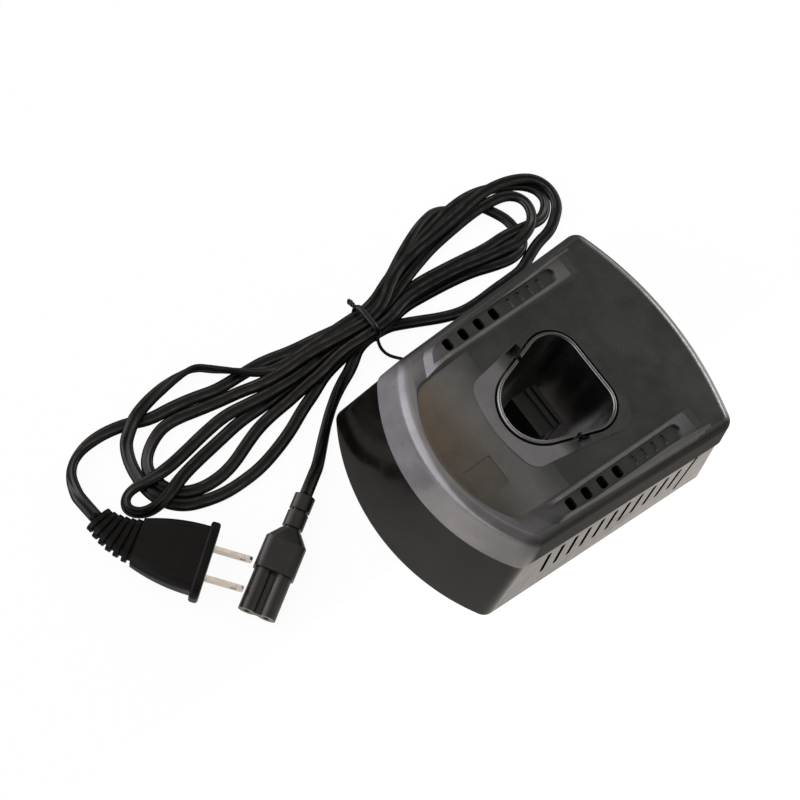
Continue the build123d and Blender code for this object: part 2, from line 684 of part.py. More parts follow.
def key_plan(grow):
    """The right key slot's plan: a neck from the opening and a bar across its end."""
    bar = Pos(KEY_BAR_X, KEY_Y) * Rot(0, 0, -STEM_SPLAY / 2) * Rectangle(
        KEY_BAR_W + 2 * grow, KEY_BAR_L + 2 * grow)
    return key_neck(grow) + bar


def rail_trough():
    """Round-ended trough of the right rail, with its open vents and its blind pockets."""
    floor = RAIL_Z - TROUGH_DEPTH
    length = TROUGH_REAR_Y - TROUGH_FRONT_Y
    middle = (TROUGH_REAR_Y + TROUGH_FRONT_Y) / 2
    void = prism(Pos(TROUGH_X, middle) * SlotOverall(length, TROUGH_W, rotation=90), floor, ABOVE)
    vent = RectangleRounded(VENT_L, VENT_W, VENT_R)
    for i in range(VENT_COUNT):
        void += prism(Pos(TROUGH_X, VENT_FIRST_Y + i * VENT_PITCH) * vent, PARTING_Z, ABOVE)
    blind = RectangleRounded(VENT_L, BLIND_W, VENT_R)
    blind_first = VENT_FIRST_Y + VENT_COUNT * VENT_PITCH
    for i in range(BLIND_COUNT):
        void += prism(Pos(TROUGH_X, blind_first + i * BLIND_PITCH) * blind, floor - BLIND_DEPTH, ABOVE)
    return rail_turned(void)


def cover_cavity():
    """Inside of the cover: the deck's hollow and the hollow under each rail."""
    hollow = deck_body(WALL, WALL) - channel_void(WALL)
    rail_low = DECK_Z - 2 * WALL
    rail_top = RAIL_Z - TROUGH_DEPTH - BLIND_DEPTH - WALL / 2
    rail_end = RAIL_END_Y - RAIL_STEPS * RAIL_STEP_PITCH - WALL
    rail_start = TROUGH_FRONT_Y + WALL
    rail_box = Pos(CHANNEL_HALF + WALL, rail_start, rail_low) * Box(
        CASE_REAR_HALF, rail_end - rail_start, rail_top - rail_low, align=(Align.MIN, Align.MIN, Align.MIN))
    return hollow + both_sides(shoulder_body(WALL) & rail_turned(rail_box))


def top_cover():
    """Moulded cover with rails, lip, channel, collar, vents, key slots and screw posts."""
    outer = stepped_rails() + deck_body(0, 0) - channel_void(0) + collar()
    cover = outer - cover_cavity()
    hang = DECK_Z - WALL / 2
    cover += prism(stem_plan(WELL_GAP + 2 * WELL_WALL), SKIRT_Z, hang)
    key_floor = RIM_Z - KEY_DEPTH
    cover += both_sides(prism(key_plan(KEY_WALL), key_floor - KEY_WALL, hang))
    for x, y in BOSS_SPOTS:
        cover += post(x, y, BOSS_R, PARTING_Z, RAIL_Z) & outer
    for x, y in EAR_SPOTS:
        cover += post(x, y, EAR_R, EAR_Z, hang)
    cover -= prism(stem_plan(WELL_WALL + WELL_GAP), PARTING_Z, ABOVE)
    for x, y in BOSS_SPOTS:
        bite = PARTING_Z + CASE_SCREW_BITE + PILOT_GAP
        cover -= post(x, y, CASE_SCREW_R + PILOT_GAP, 0, bite)
    for x, y in EAR_SPOTS:
        cover -= post(x, y, SMALL_SCREW_R + PILOT_GAP, 0, EAR_Z + EAR_SCREW_BITE + PILOT_GAP)
    cover -= both_sides(prism(key_plan(0), key_floor, ABOVE))
    cover -= both_sides(rail_trough())
    tray = extrude(RectangleRounded(EMBLEM_SIDE, EMBLEM_SIDE, EMBLEM_R), amount=RAIL_RISE)
    fall = channel_floor(EMBLEM_Y + EMBLEM_SIDE / 2) - channel_floor(EMBLEM_Y - EMBLEM_SIDE / 2)
    slope = math.degrees(math.atan(fall / EMBLEM_SIDE))
    tray_z = channel_floor(EMBLEM_Y) - EMBLEM_DEPTH
    return cover - Pos(EMBLEM_X, EMBLEM_Y, tray_z) * Rot(slope, 0, 0) * tray


# ================================================================ battery well and contact block
def battery_well():
    """Cup that takes the battery's stem: rounded rim, floor aperture, screw ears, key necks."""
    cup = prism(stem_plan(WELL_WALL), WELL_UNDERSIDE, RIM_Z)
    cup -= prism(stem_plan(0), WELL_FLOOR_Z, ABOVE)
    cup = fillet(cup.faces().sort_by(Axis.Z)[-1].edges(), WELL_RIM_R)
    ear_low = EAR_Z - EAR_THICK
    for x, y in EAR_SPOTS:
        ear = post(x, y, EAR_R, ear_low, EAR_Z) + block(x / 2, y, ear_low, abs(x), 2 * EAR_R, EAR_THICK)
        cup += ear - prism(stem_plan(0), 0, ABOVE)
    for x, y in EAR_SPOTS:
        cup -= post(x, y, SMALL_SCREW_R + SCREW_CLEAR, 0, EAR_Z)
    cup -= block(0, BLOCK_Y, 0, BLOCK_W + 2 * BLOCK_GAP, BLOCK_DEPTH + 2 * BLOCK_GAP, WELL_FLOOR_Z)
    return cup - both_sides(prism(key_neck(0), RIM_Z - KEY_DEPTH, ABOVE))


def contact_strip(reach):
    """Side view of a bowed spring strip whose outer face stands at a distance along +X."""
    low = BOARD_TOP
    high = BLOCK_TOP_Z - CONTACT_TOP_GAP
    bow_low = WELL_FLOOR_Z + CONTACT_HEEL
    bow_high = high - CONTACT_HEEL
    middle = (bow_low + bow_high) / 2
    inner = reach - CONTACT_T
    return make_face([
        Line((inner, low), (reach, low)),
        Line((reach, low), (reach, bow_low)),
        ThreePointArc((reach, bow_low), (reach + CONTACT_PROUD, middle), (reach, bow_high)),
        Line((reach, bow_high), (reach, high)),
        Line((reach, high), (inner, high)),
        Line((inner, high), (inner, bow_high)),
        ThreePointArc((inner, bow_high), (inner + CONTACT_PROUD, middle), (inner, bow_low)),
        Line((inner, bow_low), (inner, low)),
    ])


def side_contacts():
    """The two charging strips, one on each side of the tower."""
    strip = extrude(Plane.XZ * contact_strip(BLOCK_W / 2), amount=CONTACT_W / 2, both=True)
    return both_sides(Pos(0, BLOCK_Y, 0) * strip)


def rear_contact():
    """The temperature sensor's strip on the tower's rear."""
    strip = extrude(Plane.XZ * contact_strip(BLOCK_DEPTH / 2), amount=SENSOR_W / 2, both=True)
    return Pos(0, BLOCK_Y, 0) * Rot(0, 0, 90) * strip


def contact_groove(reach, width):
    """Groove that holds a strip against a face of the tower, pointing along +X."""
    inner = reach - CONTACT_T
    out = CONTACT_T + CONTACT_PLAY
    height = BLOCK_TOP_Z - CONTACT_TOP_GAP + CONTACT_PLAY - BOARD_TOP
    return block(inner + out / 2, 0, BOARD_TOP, out, width + 2 * CONTACT_PLAY, height)


def contact_block():
    """Moulded tower on a wide base, with ridges on top, a stepped rear and contact grooves."""
    top = BLOCK_TOP_Z - BLOCK_RIDGE_RISE
    step_y = BLOCK_FRONT_Y + BLOCK_STEP_AT
    rear_y = BLOCK_FRONT_Y + BLOCK_DEPTH
    margin = 2 * BLOCK_BASE_MARGIN
    body = block(0, BLOCK_Y, BOARD_TOP, BLOCK_W + margin, BLOCK_DEPTH + margin, WELL_UNDERSIDE - BOARD_TOP)
    body += block(0, BLOCK_Y, BOARD_TOP, BLOCK_W, BLOCK_DEPTH, top - BOARD_TOP)
    body -= block(0, (step_y + rear_y) / 2, top - BLOCK_STEP_DROP,
                  BLOCK_W, rear_y - step_y, BLOCK_STEP_DROP)
    half = BLOCK_RIDGE_W / 2
    ridges = ((BLOCK_FRONT_Y + half, top), (step_y - half, top), (rear_y - half, top - BLOCK_STEP_DROP))
    for y, foot in ridges:
        body += block(0, y, foot, BLOCK_W, BLOCK_RIDGE_W, BLOCK_RIDGE_RISE)
    body -= Pos(0, BLOCK_Y, 0) * both_sides(contact_groove(BLOCK_W / 2, CONTACT_W))
    return body - Pos(0, BLOCK_Y, 0) * Rot(0, 0, 90) * contact_groove(BLOCK_DEPTH / 2, SENSOR_W)


# ================================================================ circuit board and what it carries
def circuit_board():
    """Board on the housing's four standoffs."""
    length = BOARD_REAR_Y - BOARD_FRONT_Y
    plan = Pos(0, BOARD_FRONT_Y + length / 2) * RectangleRounded(2 * BOARD_HALF, length, BOARD_R)
    board = prism(plan, BOARD_Z, BOARD_TOP)
    for x, y in STANDOFF_SPOTS:
        board -= post(x, y, SMALL_SCREW_R + SCREW_CLEAR, BOARD_Z, BOARD_TOP)
    return board


def transformer_core():
    """Laminated core with its two windows."""
    core = block(0, TRANSFORMER_Y, CORE_LOW, CORE_W, CORE_DEPTH, CORE_H)
    for sx in (-1, 1):
        core -= block(sx * (CORE_LEG + CORE_WINDOW_W) / 2, TRANSFORMER_Y, CORE_LOW + CORE_YOKE,
                      CORE_WINDOW_W, 2 * CORE_DEPTH, CORE_WINDOW_H)
    return core


def transformer_bobbin():
    """Sleeve on the core's middle leg, with two flanges and the feet it stands on."""
    low = CORE_LOW + CORE_YOKE + CORE_PLAY
    height = CORE_WINDOW_H - 2 * CORE_PLAY
    hole_w = CORE_LEG + 2 * CORE_PLAY
    hole_d = CORE_DEPTH + 2 * CORE_PLAY
    flange_w = CORE_LEG + 2 * CORE_WINDOW_W - 2 * CORE_PLAY
    flange_d = CORE_DEPTH + 2 * WINDING_DEPTH
    bobbin = block(0, TRANSFORMER_Y, low, hole_w + 2 * BOBBIN_WALL, hole_d + 2 * BOBBIN_WALL, height)
    for foot in (low, low + height - BOBBIN_FLANGE):
        bobbin += block(0, TRANSFORMER_Y, foot, flange_w, flange_d, BOBBIN_FLANGE)
    bobbin -= block(0, TRANSFORMER_Y, low, hole_w, hole_d, height)
    leg_d = (flange_d - hole_d) / 2
    for sy in (-1, 1):
        y = TRANSFORMER_Y + sy * (hole_d + leg_d) / 2
        bobbin += block(0, y, BOARD_TOP, flange_w, leg_d, low - BOARD_TOP)
    return bobbin


def transformer_winding():
    """Wound copper between the bobbin's flanges, taped round."""
    low = CORE_LOW + CORE_YOKE + CORE_PLAY + BOBBIN_FLANGE
    height = CORE_WINDOW_H - 2 * (CORE_PLAY + BOBBIN_FLANGE)
    grow = 2 * (CORE_PLAY + BOBBIN_WALL)
    width = CORE_LEG + 2 * (CORE_WINDOW_W - CORE_PLAY - WINDING_INSET)
    depth = CORE_DEPTH + 2 * (WINDING_DEPTH - WINDING_INSET)
    winding = block(0, TRANSFORMER_Y, low, width, depth, height)
    winding = fillet(winding.edges().filter_by(Axis.Z), WINDING_EDGE_R)
    return winding - block(0, TRANSFORMER_Y, low, CORE_LEG + grow, CORE_DEPTH + grow, height)


def capacitor(x, y, radius, height):
    """Can with a rolled crimp above its foot and a rounded top edge."""
    can = post(x, y, radius, BOARD_TOP, BOARD_TOP + height)
    can = fillet(can.edges().sort_by(Axis.Z)[-1], CAP_EDGE_R)
    return can - Pos(x, y, BOARD_TOP + CAP_CRIMP_Z) * Torus(radius, CAP_CRIMP_R)


def output_capacitors():
    """Row of smoothing capacitors on the low-voltage side."""
    return [capacitor(OUTPUT_CAP_X + i * OUTPUT_CAP_PITCH, OUTPUT_CAP_Y, OUTPUT_CAP_R, OUTPUT_CAP_H)
            for i in range(OUTPUT_CAP_COUNT)]


def choke():
    """Toroid that stands on the board across its width."""
    ring = Cylinder(CHOKE_R, CHOKE_THICK) - Cylinder(CHOKE_HOLE_R, CHOKE_THICK)
    ring = fillet(ring.edges().filter_by(GeomType.CIRCLE), CHOKE_EDGE_R)
    return Pos(CHOKE_X, CHOKE_Y, BOARD_TOP + CHOKE_R) * Rot(0, 90, 0) * ring


def heat_sink():
    """Upright plate with a row of fins on its outer side."""
    sink = block(SINK_X, SINK_Y, BOARD_TOP, SINK_BASE, SINK_LENGTH, SINK_HEIGHT)
    pitch = (SINK_LENGTH - SINK_FIN) / (SINK_FIN_COUNT - 1)
    for i in range(SINK_FIN_COUNT):
        y = SINK_Y - SINK_LENGTH / 2 + SINK_FIN / 2 + i * pitch
        sink += block(SINK_X + (SINK_BASE + SINK_FIN_REACH) / 2, y, BOARD_TOP,
                      SINK_FIN_REACH, SINK_FIN, SINK_HEIGHT)
    return sink


def power_transistor():
    """Flat-backed chip on the heat sink's inner side, standing on three legs."""
    x = SINK_X - (SINK_BASE + CHIP_T) / 2
    chip = block(x, SINK_Y, BOARD_TOP + CHIP_LIFT, CHIP_T, CHIP_W, CHIP_H)
    for i in range(CHIP_LEGS):
        y = SINK_Y + (i - (CHIP_LEGS - 1) / 2) * CHIP_LEG_PITCH
        chip += block(x, y, BOARD_TOP, CHIP_LEG_W, CHIP_LEG_W, CHIP_LIFT)
    return chip


def fuse():
    """Tube fuse with two end caps, lying along the board."""
    body = Cylinder(FUSE_R, FUSE_L)
    for sz in (-1, 1):
        body += Pos(0, 0, sz * (FUSE_L - FUSE_CAP_L) / 2) * Cylinder(FUSE_R + FUSE_CAP_WALL, FUSE_CAP_L)
    return Pos(FUSE_X, FUSE_Y, BOARD_TOP + FUSE_R + FUSE_CAP_WALL) * Rot(90, 0, 0) * body


# ================================================================ inlet
def inlet_socket():
    """Flanged inlet with the figure-eight recess that takes the lead's connector."""
    body = rear_prism(flange_plan(0), INLET_FACE_Y, INLET_FLANGE_T)
    body += rear_prism(inlet_body_plan(0), INLET_FACE_Y, INLET_DEPTH + INLET_BACK)
    body -= rear_prism(figure_eight(INLET_LOBE_R), INLET_FACE_Y, INLET_DEPTH)
    for sx in (-1, 1):
        body -= rear_prism(Pos(sx * INLET_PITCH / 2, 0) * Circle(INLET_PIN_R), INLET_FACE_Y,
                           INLET_DEPTH + INLET_BACK)
    return body


def inlet_pins():
    """Two round pins through the inlet's back, with rounded tips and solder tails."""
    length = INLET_PIN_L + INLET_BACK + INLET_TAIL
    pin = rear_prism(Circle(INLET_PIN_R), INLET_BACK_Y + INLET_BACK + INLET_PIN_L, length)
    pin = fillet(pin.edges().sort_by(Axis.Y)[-1], INLET_PIN_TIP_R)
    return [Pos(sx * INLET_PITCH / 2, 0, 0) * pin for sx in (-1, 1)]


def inlet_leads():
    """Two insulated leads from the pins' tails down to the board."""
    start_y = INLET_BACK_Y - INLET_TAIL
    leads = []
    for sx in (-1, 1):
        x = sx * INLET_PITCH / 2
        path = FilletPolyline((x, start_y, INLET_Z), (x, start_y - LEAD_DROP, INLET_Z),
                              (x, start_y - LEAD_DROP, BOARD_TOP), radius=LEAD_BEND_R)
        leads.append(sweep(Plane(path @ 0, z_dir=path % 0) * Circle(LEAD_R), path=path))
    return leads


# ================================================================ screws and feet
def casing_screws():
    """Four long screws from the underside, through the housing's posts into the cover's."""
    part = screw(CASE_SCREW_R, CASE_SCREW_HEAD_R, CASE_SCREW_HEAD_H,
                 PARTING_Z + CASE_SCREW_BITE - CASE_SCREW_RECESS_TOP)
    return [Pos(x, y, CASE_SCREW_RECESS_TOP) * part for x, y in BOSS_SPOTS]


def board_screws():
    """Four short screws down through the board into the standoffs."""
    part = screw(SMALL_SCREW_R, SMALL_SCREW_HEAD_R, SMALL_SCREW_HEAD_H, BOARD_THICK + BOARD_SCREW_BITE)
    return [Pos(x, y, BOARD_TOP) * Rot(180, 0, 0) * part for x, y in STANDOFF_SPOTS]


def well_screws():
    """Four short screws up through the well's ears into the cover's posts."""
    part = screw(SMALL_SCREW_R, SMALL_SCREW_HEAD_R, SMALL_SCREW_HEAD_H, EAR_THICK + EAR_SCREW_BITE)
    return [Pos(x, y, EAR_Z - EAR_THICK) * part for x, y in EAR_SPOTS]


def rubber_feet():
    """Four round feet seated in the underside."""
    foot = post(0, 0, FOOT_R, 0, STAND + FOOT_SEAT_DEPTH)
    foot = fillet(foot.edges().sort_by(Axis.Z)[0], FOOT_EDGE_R)
    return [Pos(x, y, 0) * foot for x, y in FOOT_SPOTS]


# ================================================================ mains lead
def slab(x, width, height, corner, thick):
    """Rounded block across the local X axis, from a distance along it."""
    seat = Plane(origin=(x, 0, 0), x_dir=(0, 1, 0), z_dir=(1, 0, 0))
    return extrude(seat * RectangleRounded(width, height, corner), amount=thick)


def grip(stations):
    """Smooth body through rounded sections, each a distance along X, a width, a height, a corner."""
    sections = []
    for x, width, height, corner in stations:
        seat = Plane(origin=(x, 0, 0), x_dir=(0, 1, 0), z_dir=(1, 0, 0))
        sections.append(seat * RectangleRounded(width, height, corner))
    return loft(sections)


def relief_frame(share):
    """Place on the plug's bent relief; share runs from 0 at the body to 1 at the cord."""
    radius = RELIEF_L / math.radians(RELIEF_BEND)
    turn = share * RELIEF_BEND
    reach = radius * math.sin(math.radians(turn))
    aside = radius * (1 - math.cos(math.radians(turn)))
    return Pos(-reach, aside, 0) * Rot(0, 0, -turn)


def plug_place():
    """The plug's place on the table, blades pointing along local +X."""
    return Pos(PLUG_SPOT[0], PLUG_SPOT[1], PLUG_Z) * Rot(0, 0, PLUG_TURN)


def plug_body():
    """Overmoulded plug: bent ribbed relief, flared body and oval flange."""
    belly_w = (PLUG_NECK_W + PLUG_GRIP_W) / 2 + 2 * PLUG_SIDE_BELLY
    belly_h = (PLUG_NECK_H + PLUG_GRIP_H) / 2
    body = grip([
        (0, PLUG_NECK_W, PLUG_NECK_H, PLUG_EDGE_R),
        (PLUG_BODY_L / 2, belly_w, belly_h, PLUG_EDGE_R),
        (PLUG_BODY_L, PLUG_GRIP_W, PLUG_GRIP_H, PLUG_EDGE_R),
    ])
    flange = slab(PLUG_BODY_L, PLUG_FLANGE_W, PLUG_FLANGE_H, PLUG_FLANGE_R, PLUG_FLANGE_T)
    rims = flange.faces().sort_by(Axis.X)
    flange = fillet(rims[0].edges() + rims[-1].edges(), PLUG_FLANGE_EDGE_R)
    body += flange
    for i in range(RELIEF_RIBS):
        share = (i + 1) / RELIEF_RIBS
        width = PLUG_NECK_W + (RELIEF_TIP_W - PLUG_NECK_W) * share
        height = PLUG_NECK_H + (RELIEF_TIP_H - PLUG_NECK_H) * share
        low_w = width - 2 * RELIEF_RIB_RISE
        low_h = height - 2 * RELIEF_RIB_RISE
        step = RELIEF_L / RELIEF_RIBS + RELIEF_RIB_T / 2
        body += relief_frame(share) * slab(0, low_w, low_h, RELIEF_ROUND * low_h, step)
        body += relief_frame(share) * slab(0, width, height, RELIEF_ROUND * height, RELIEF_RIB_T)
    return plug_place() * body


def plug_blades():
    """Two flat blades with chamfered tips and a hole near each tip."""
    root = PLUG_BODY_L + PLUG_FLANGE_T
    face = Pos(root + BLADE_L / 2, 0) * Rectangle(BLADE_L, BLADE_W)
    face = chamfer(face.vertices().sort_by(Axis.X)[-2:], BLADE_TIP)
    face -= Pos(root + BLADE_L - BLADE_HOLE_BACK, 0) * Circle(BLADE_HOLE_R)
    blade = extrude(Plane.XZ * face, amount=BLADE_T / 2, both=True)
    return [plug_place() * Pos(0, sy * BLADE_PITCH / 2, 0) * blade for sy in (-1, 1)]


def connector_place():
    """The connector's place on the table, sockets facing along local +X."""
    return Pos(CONNECTOR_SPOT[0], CONNECTOR_SPOT[1], CONNECTOR_Z) * Rot(0, 0, CONNECTOR_TURN)


def connector_length():
    """From the relief's tip to the nose's face."""
    return CONNECTOR_RELIEF_L + CONNECTOR_SHOULDER_L + CONNECTOR_GRIP_L + CONNECTOR_NOSE_L


def socket_bore(radius, length, depth):
    """The two bores of a radius that end at a depth behind the nose's face."""
    x = connector_length() - depth - length / 2
    bore = Pos(x, 0, 0) * Rot(0, 90, 0) * Cylinder(radius, length)
    return [Pos(0, sy * INLET_PITCH / 2, 0) * bore for sy in (-1, 1)]


def connector_body():
    """Overmoulded connector: stepped relief, shouldered grip and figure-eight nose."""
    shoulder_x = CONNECTOR_RELIEF_L
    grip_x = shoulder_x + CONNECTOR_SHOULDER_L
    nose_x = grip_x + CONNECTOR_GRIP_L
    relief_r = RELIEF_ROUND * CONNECTOR_RELIEF_H
    body = grip([
        (shoulder_x, CONNECTOR_RELIEF_W, CONNECTOR_RELIEF_H, relief_r),
        (grip_x, CONNECTOR_GRIP_W, CONNECTOR_GRIP_H, CONNECTOR_GRIP_R),
    ])
    body += slab(grip_x, CONNECTOR_GRIP_W, CONNECTOR_GRIP_H, CONNECTOR_GRIP_R, CONNECTOR_GRIP_L)
    seat = Plane(origin=(nose_x, 0, 0), x_dir=(0, 1, 0), z_dir=(1, 0, 0))
    body += extrude(seat * figure_eight(INLET_LOBE_R - CONNECTOR_FIT), amount=CONNECTOR_NOSE_L)
    groove = 2 * CONNECTOR_RIB_GAP
    body += slab(0, CONNECTOR_RELIEF_W - groove, CONNECTOR_RELIEF_H - groove,
                 RELIEF_ROUND * (CONNECTOR_RELIEF_H - groove), shoulder_x)
    step = shoulder_x / CONNECTOR_RELIEF_RIBS
    for i in range(CONNECTOR_RELIEF_RIBS):
        body += slab(i * step, CONNECTOR_RELIEF_W, CONNECTOR_RELIEF_H, relief_r, step - CONNECTOR_RIB_GAP)
    for bore in socket_bore(TERMINAL_R, TERMINAL_L, TERMINAL_SET_BACK):
        body -= bore
    for bore in socket_bore(SOCKET_HOLE_R, TERMINAL_SET_BACK, 0):
        body -= bore
    return connector_place() * body


def connector_terminals():
    """Two sleeves in the nose that close on the inlet's pins."""
    sleeves = socket_bore(TERMINAL_R, TERMINAL_L, TERMINAL_SET_BACK)
    holes = socket_bore(INLET_PIN_R, TERMINAL_L, TERMINAL_SET_BACK)
    return [connector_place() * (sleeve - hole) for sleeve, hole in zip(sleeves, holes)]


def cord_tube(name, place, points):
    """Flat cord from a relief's tip through points, in runs joined by the largest arcs that fit."""
    points = [tuple(place.position), tuple((place * Pos(-CORD_EXIT, 0, 0)).position)] + points
    runs = [Vector(*end) - Vector(*start) for start, end in zip(points, points[1:])]
    radii = []
    for before, after in zip(runs, runs[1:]):
        half_turn = math.radians(before.get_angle(after)) / 2
        radii.append(CORD_RUN_SHARE * min(before.length, after.length) / math.tan(half_turn))
    print(name, "radii", [round(radius) for radius in radii])
    path = FilletPolyline(*points, radius=radii)
    start = Plane(origin=path @ 0, x_dir=(path % 0).cross(Vector(0, 0, 1)), z_dir=path % 0)
    section = start * SlotOverall(CORD_W, CORD_T)
    tube = sweep(section, path=path)
    share = tube.volume / (section.area * path.length)
    print(name, "length", round(path.length, 1), "volume share", round(share, 4))
    return tube - cord_hank()


def bundle_place():
    """Place of the tied strands, running along local +X, held off the table by the tie."""
    return Pos(TIE_SPOT[0], TIE_SPOT[1], TIE_T + BUNDLE_H / 2) * Rot(0, 0, TIE_TURN + 90)


def bundle(grow, length):
    """The tied strands' outer shape, grown all round."""
    width = BUNDLE_W + 2 * grow
    height = BUNDLE_H + 2 * grow
    return bundle_place() * slab(-length / 2, width, height, BUNDLE_R + grow, length)


def lobe(turns):
    """Slab on the table round a few turns of the cord and the tied waist."""
    circles = [Pos(x, y) * Circle(radius) for (x, y), radius in turns + [(TIE_SPOT, BUNDLE_W / 2)]]
    edges = [edge for circle in circles for edge in circle.edges()]
    body = prism(make_hull(edges), 0, HANK_HEIGHT)
    return fillet(body.faces().sort_by(Axis.Z)[-1].edges(), HANK_EDGE_R)


def cord_hank():
    """Outer shape of the folded and tied cord: two flat lobes and the waist in the tie."""
    waist = bundle(BUNDLE_H, TIE_W)
    return lobe(HANK_LOWER) + lobe(HANK_UPPER) - waist + bundle(0, BUNDLE_L)


def twist_tie():
    """Tie round the waist, with its twisted knot on one side and its free end on the other."""
    ring = bundle(TIE_T, TIE_W) - bundle(0, TIE_W)
    reach = (BUNDLE_W + TIE_KNOT_L) / 2 + TIE_T
    knot = bundle_place() * Pos(0, reach, 0) * Rot(90, 0, 0) * Cylinder(TIE_KNOT_R, TIE_KNOT_L)
    path = FilletPolyline(*TIE_TAIL, radius=TIE_TAIL_BEND_R)
    tail = sweep(Plane(path @ 0, z_dir=path % 0) * Circle(TIE_TAIL_R), path=path)
    return ring + knot + (tail - bundle(0, TIE_W))


save(lower_housing(), "lower_housing")
save(top_cover(), "top_cover")
save(battery_well(), "battery_well")
save(contact_block(), "contact_block")
save(side_contacts(), "charge_contacts")
save(rear_contact(), "sensor_contact")
save(circuit_board(), "circuit_board")
save(transformer_core(), "transformer_core")
save(transformer_bobbin(), "transformer_bobbin")
save(transformer_winding(), "transformer_winding")
save(capacitor(MAINS_CAP_X, MAINS_CAP_Y, MAINS_CAP_R, MAINS_CAP_H), "mains_capacitor")
save(output_capacitors(), "output_capacitors")
save(choke(), "choke")
save(heat_sink(), "heat_sink")
save(power_transistor(), "power_transistor")
save(fuse(), "fuse")
save(inlet_socket(), "inlet_socket")
save(inlet_pins(), "inlet_pins")
save(inlet_leads(), "inlet_leads")
save(casing_screws(), "casing_screws")
save(board_screws(), "board_screws")
save(well_screws(), "well_screws")
save(rubber_feet(), "rubber_feet")
save(plug_body(), "plug_body")
save(plug_blades(), "plug_blades")
save(connector_body(), "connector_body")
save(connector_terminals(), "connector_terminals")
save(cord_tube("plug end", plug_place() * relief_frame(1), PLUG_CORD), "mains_cord_plug_end")
save(cord_tube("connector end", connector_place(), CONNECTOR_CORD), "mains_cord_connector_end")
save(cord_hank(), "cord_hank")
save(twist_tie(), "twist_tie")
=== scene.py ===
import bpy
import json
import math
import numpy as np
from mathutils import Matrix, Vector


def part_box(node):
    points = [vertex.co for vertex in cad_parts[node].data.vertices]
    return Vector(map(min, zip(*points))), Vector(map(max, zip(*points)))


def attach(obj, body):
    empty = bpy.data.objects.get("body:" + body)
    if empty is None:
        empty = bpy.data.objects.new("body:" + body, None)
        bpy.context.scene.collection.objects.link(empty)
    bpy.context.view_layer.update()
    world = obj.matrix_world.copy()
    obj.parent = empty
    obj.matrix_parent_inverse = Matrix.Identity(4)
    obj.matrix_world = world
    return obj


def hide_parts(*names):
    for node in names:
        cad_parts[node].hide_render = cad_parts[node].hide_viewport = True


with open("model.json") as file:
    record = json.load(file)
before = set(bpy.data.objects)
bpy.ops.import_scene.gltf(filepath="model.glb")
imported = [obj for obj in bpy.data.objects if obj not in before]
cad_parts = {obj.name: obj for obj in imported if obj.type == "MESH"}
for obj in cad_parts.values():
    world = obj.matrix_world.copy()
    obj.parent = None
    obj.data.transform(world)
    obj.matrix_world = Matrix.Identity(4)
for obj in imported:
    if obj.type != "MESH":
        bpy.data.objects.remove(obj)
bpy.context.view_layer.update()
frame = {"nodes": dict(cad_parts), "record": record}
nodes = frame["nodes"]
MM = 0.001
UP = np.array([0, 0, 1.0])

# ================================================================== the mains lead and its tie
# Lengths are in millimetres.
CORD_WIDE = 5.7             # flat cord with two cores side by side
CORD_THICK = 2.9
CORD_WAIST = 0.34           # depth of the groove between the cores
WAIST_WIDE = 0.55           # its half width
SECTION_SPREAD = 0.85       # power that crowds the section's points towards its edges; 1 spreads them evenly
MAP_UNIT = 10               # length of cord to one unit of its map
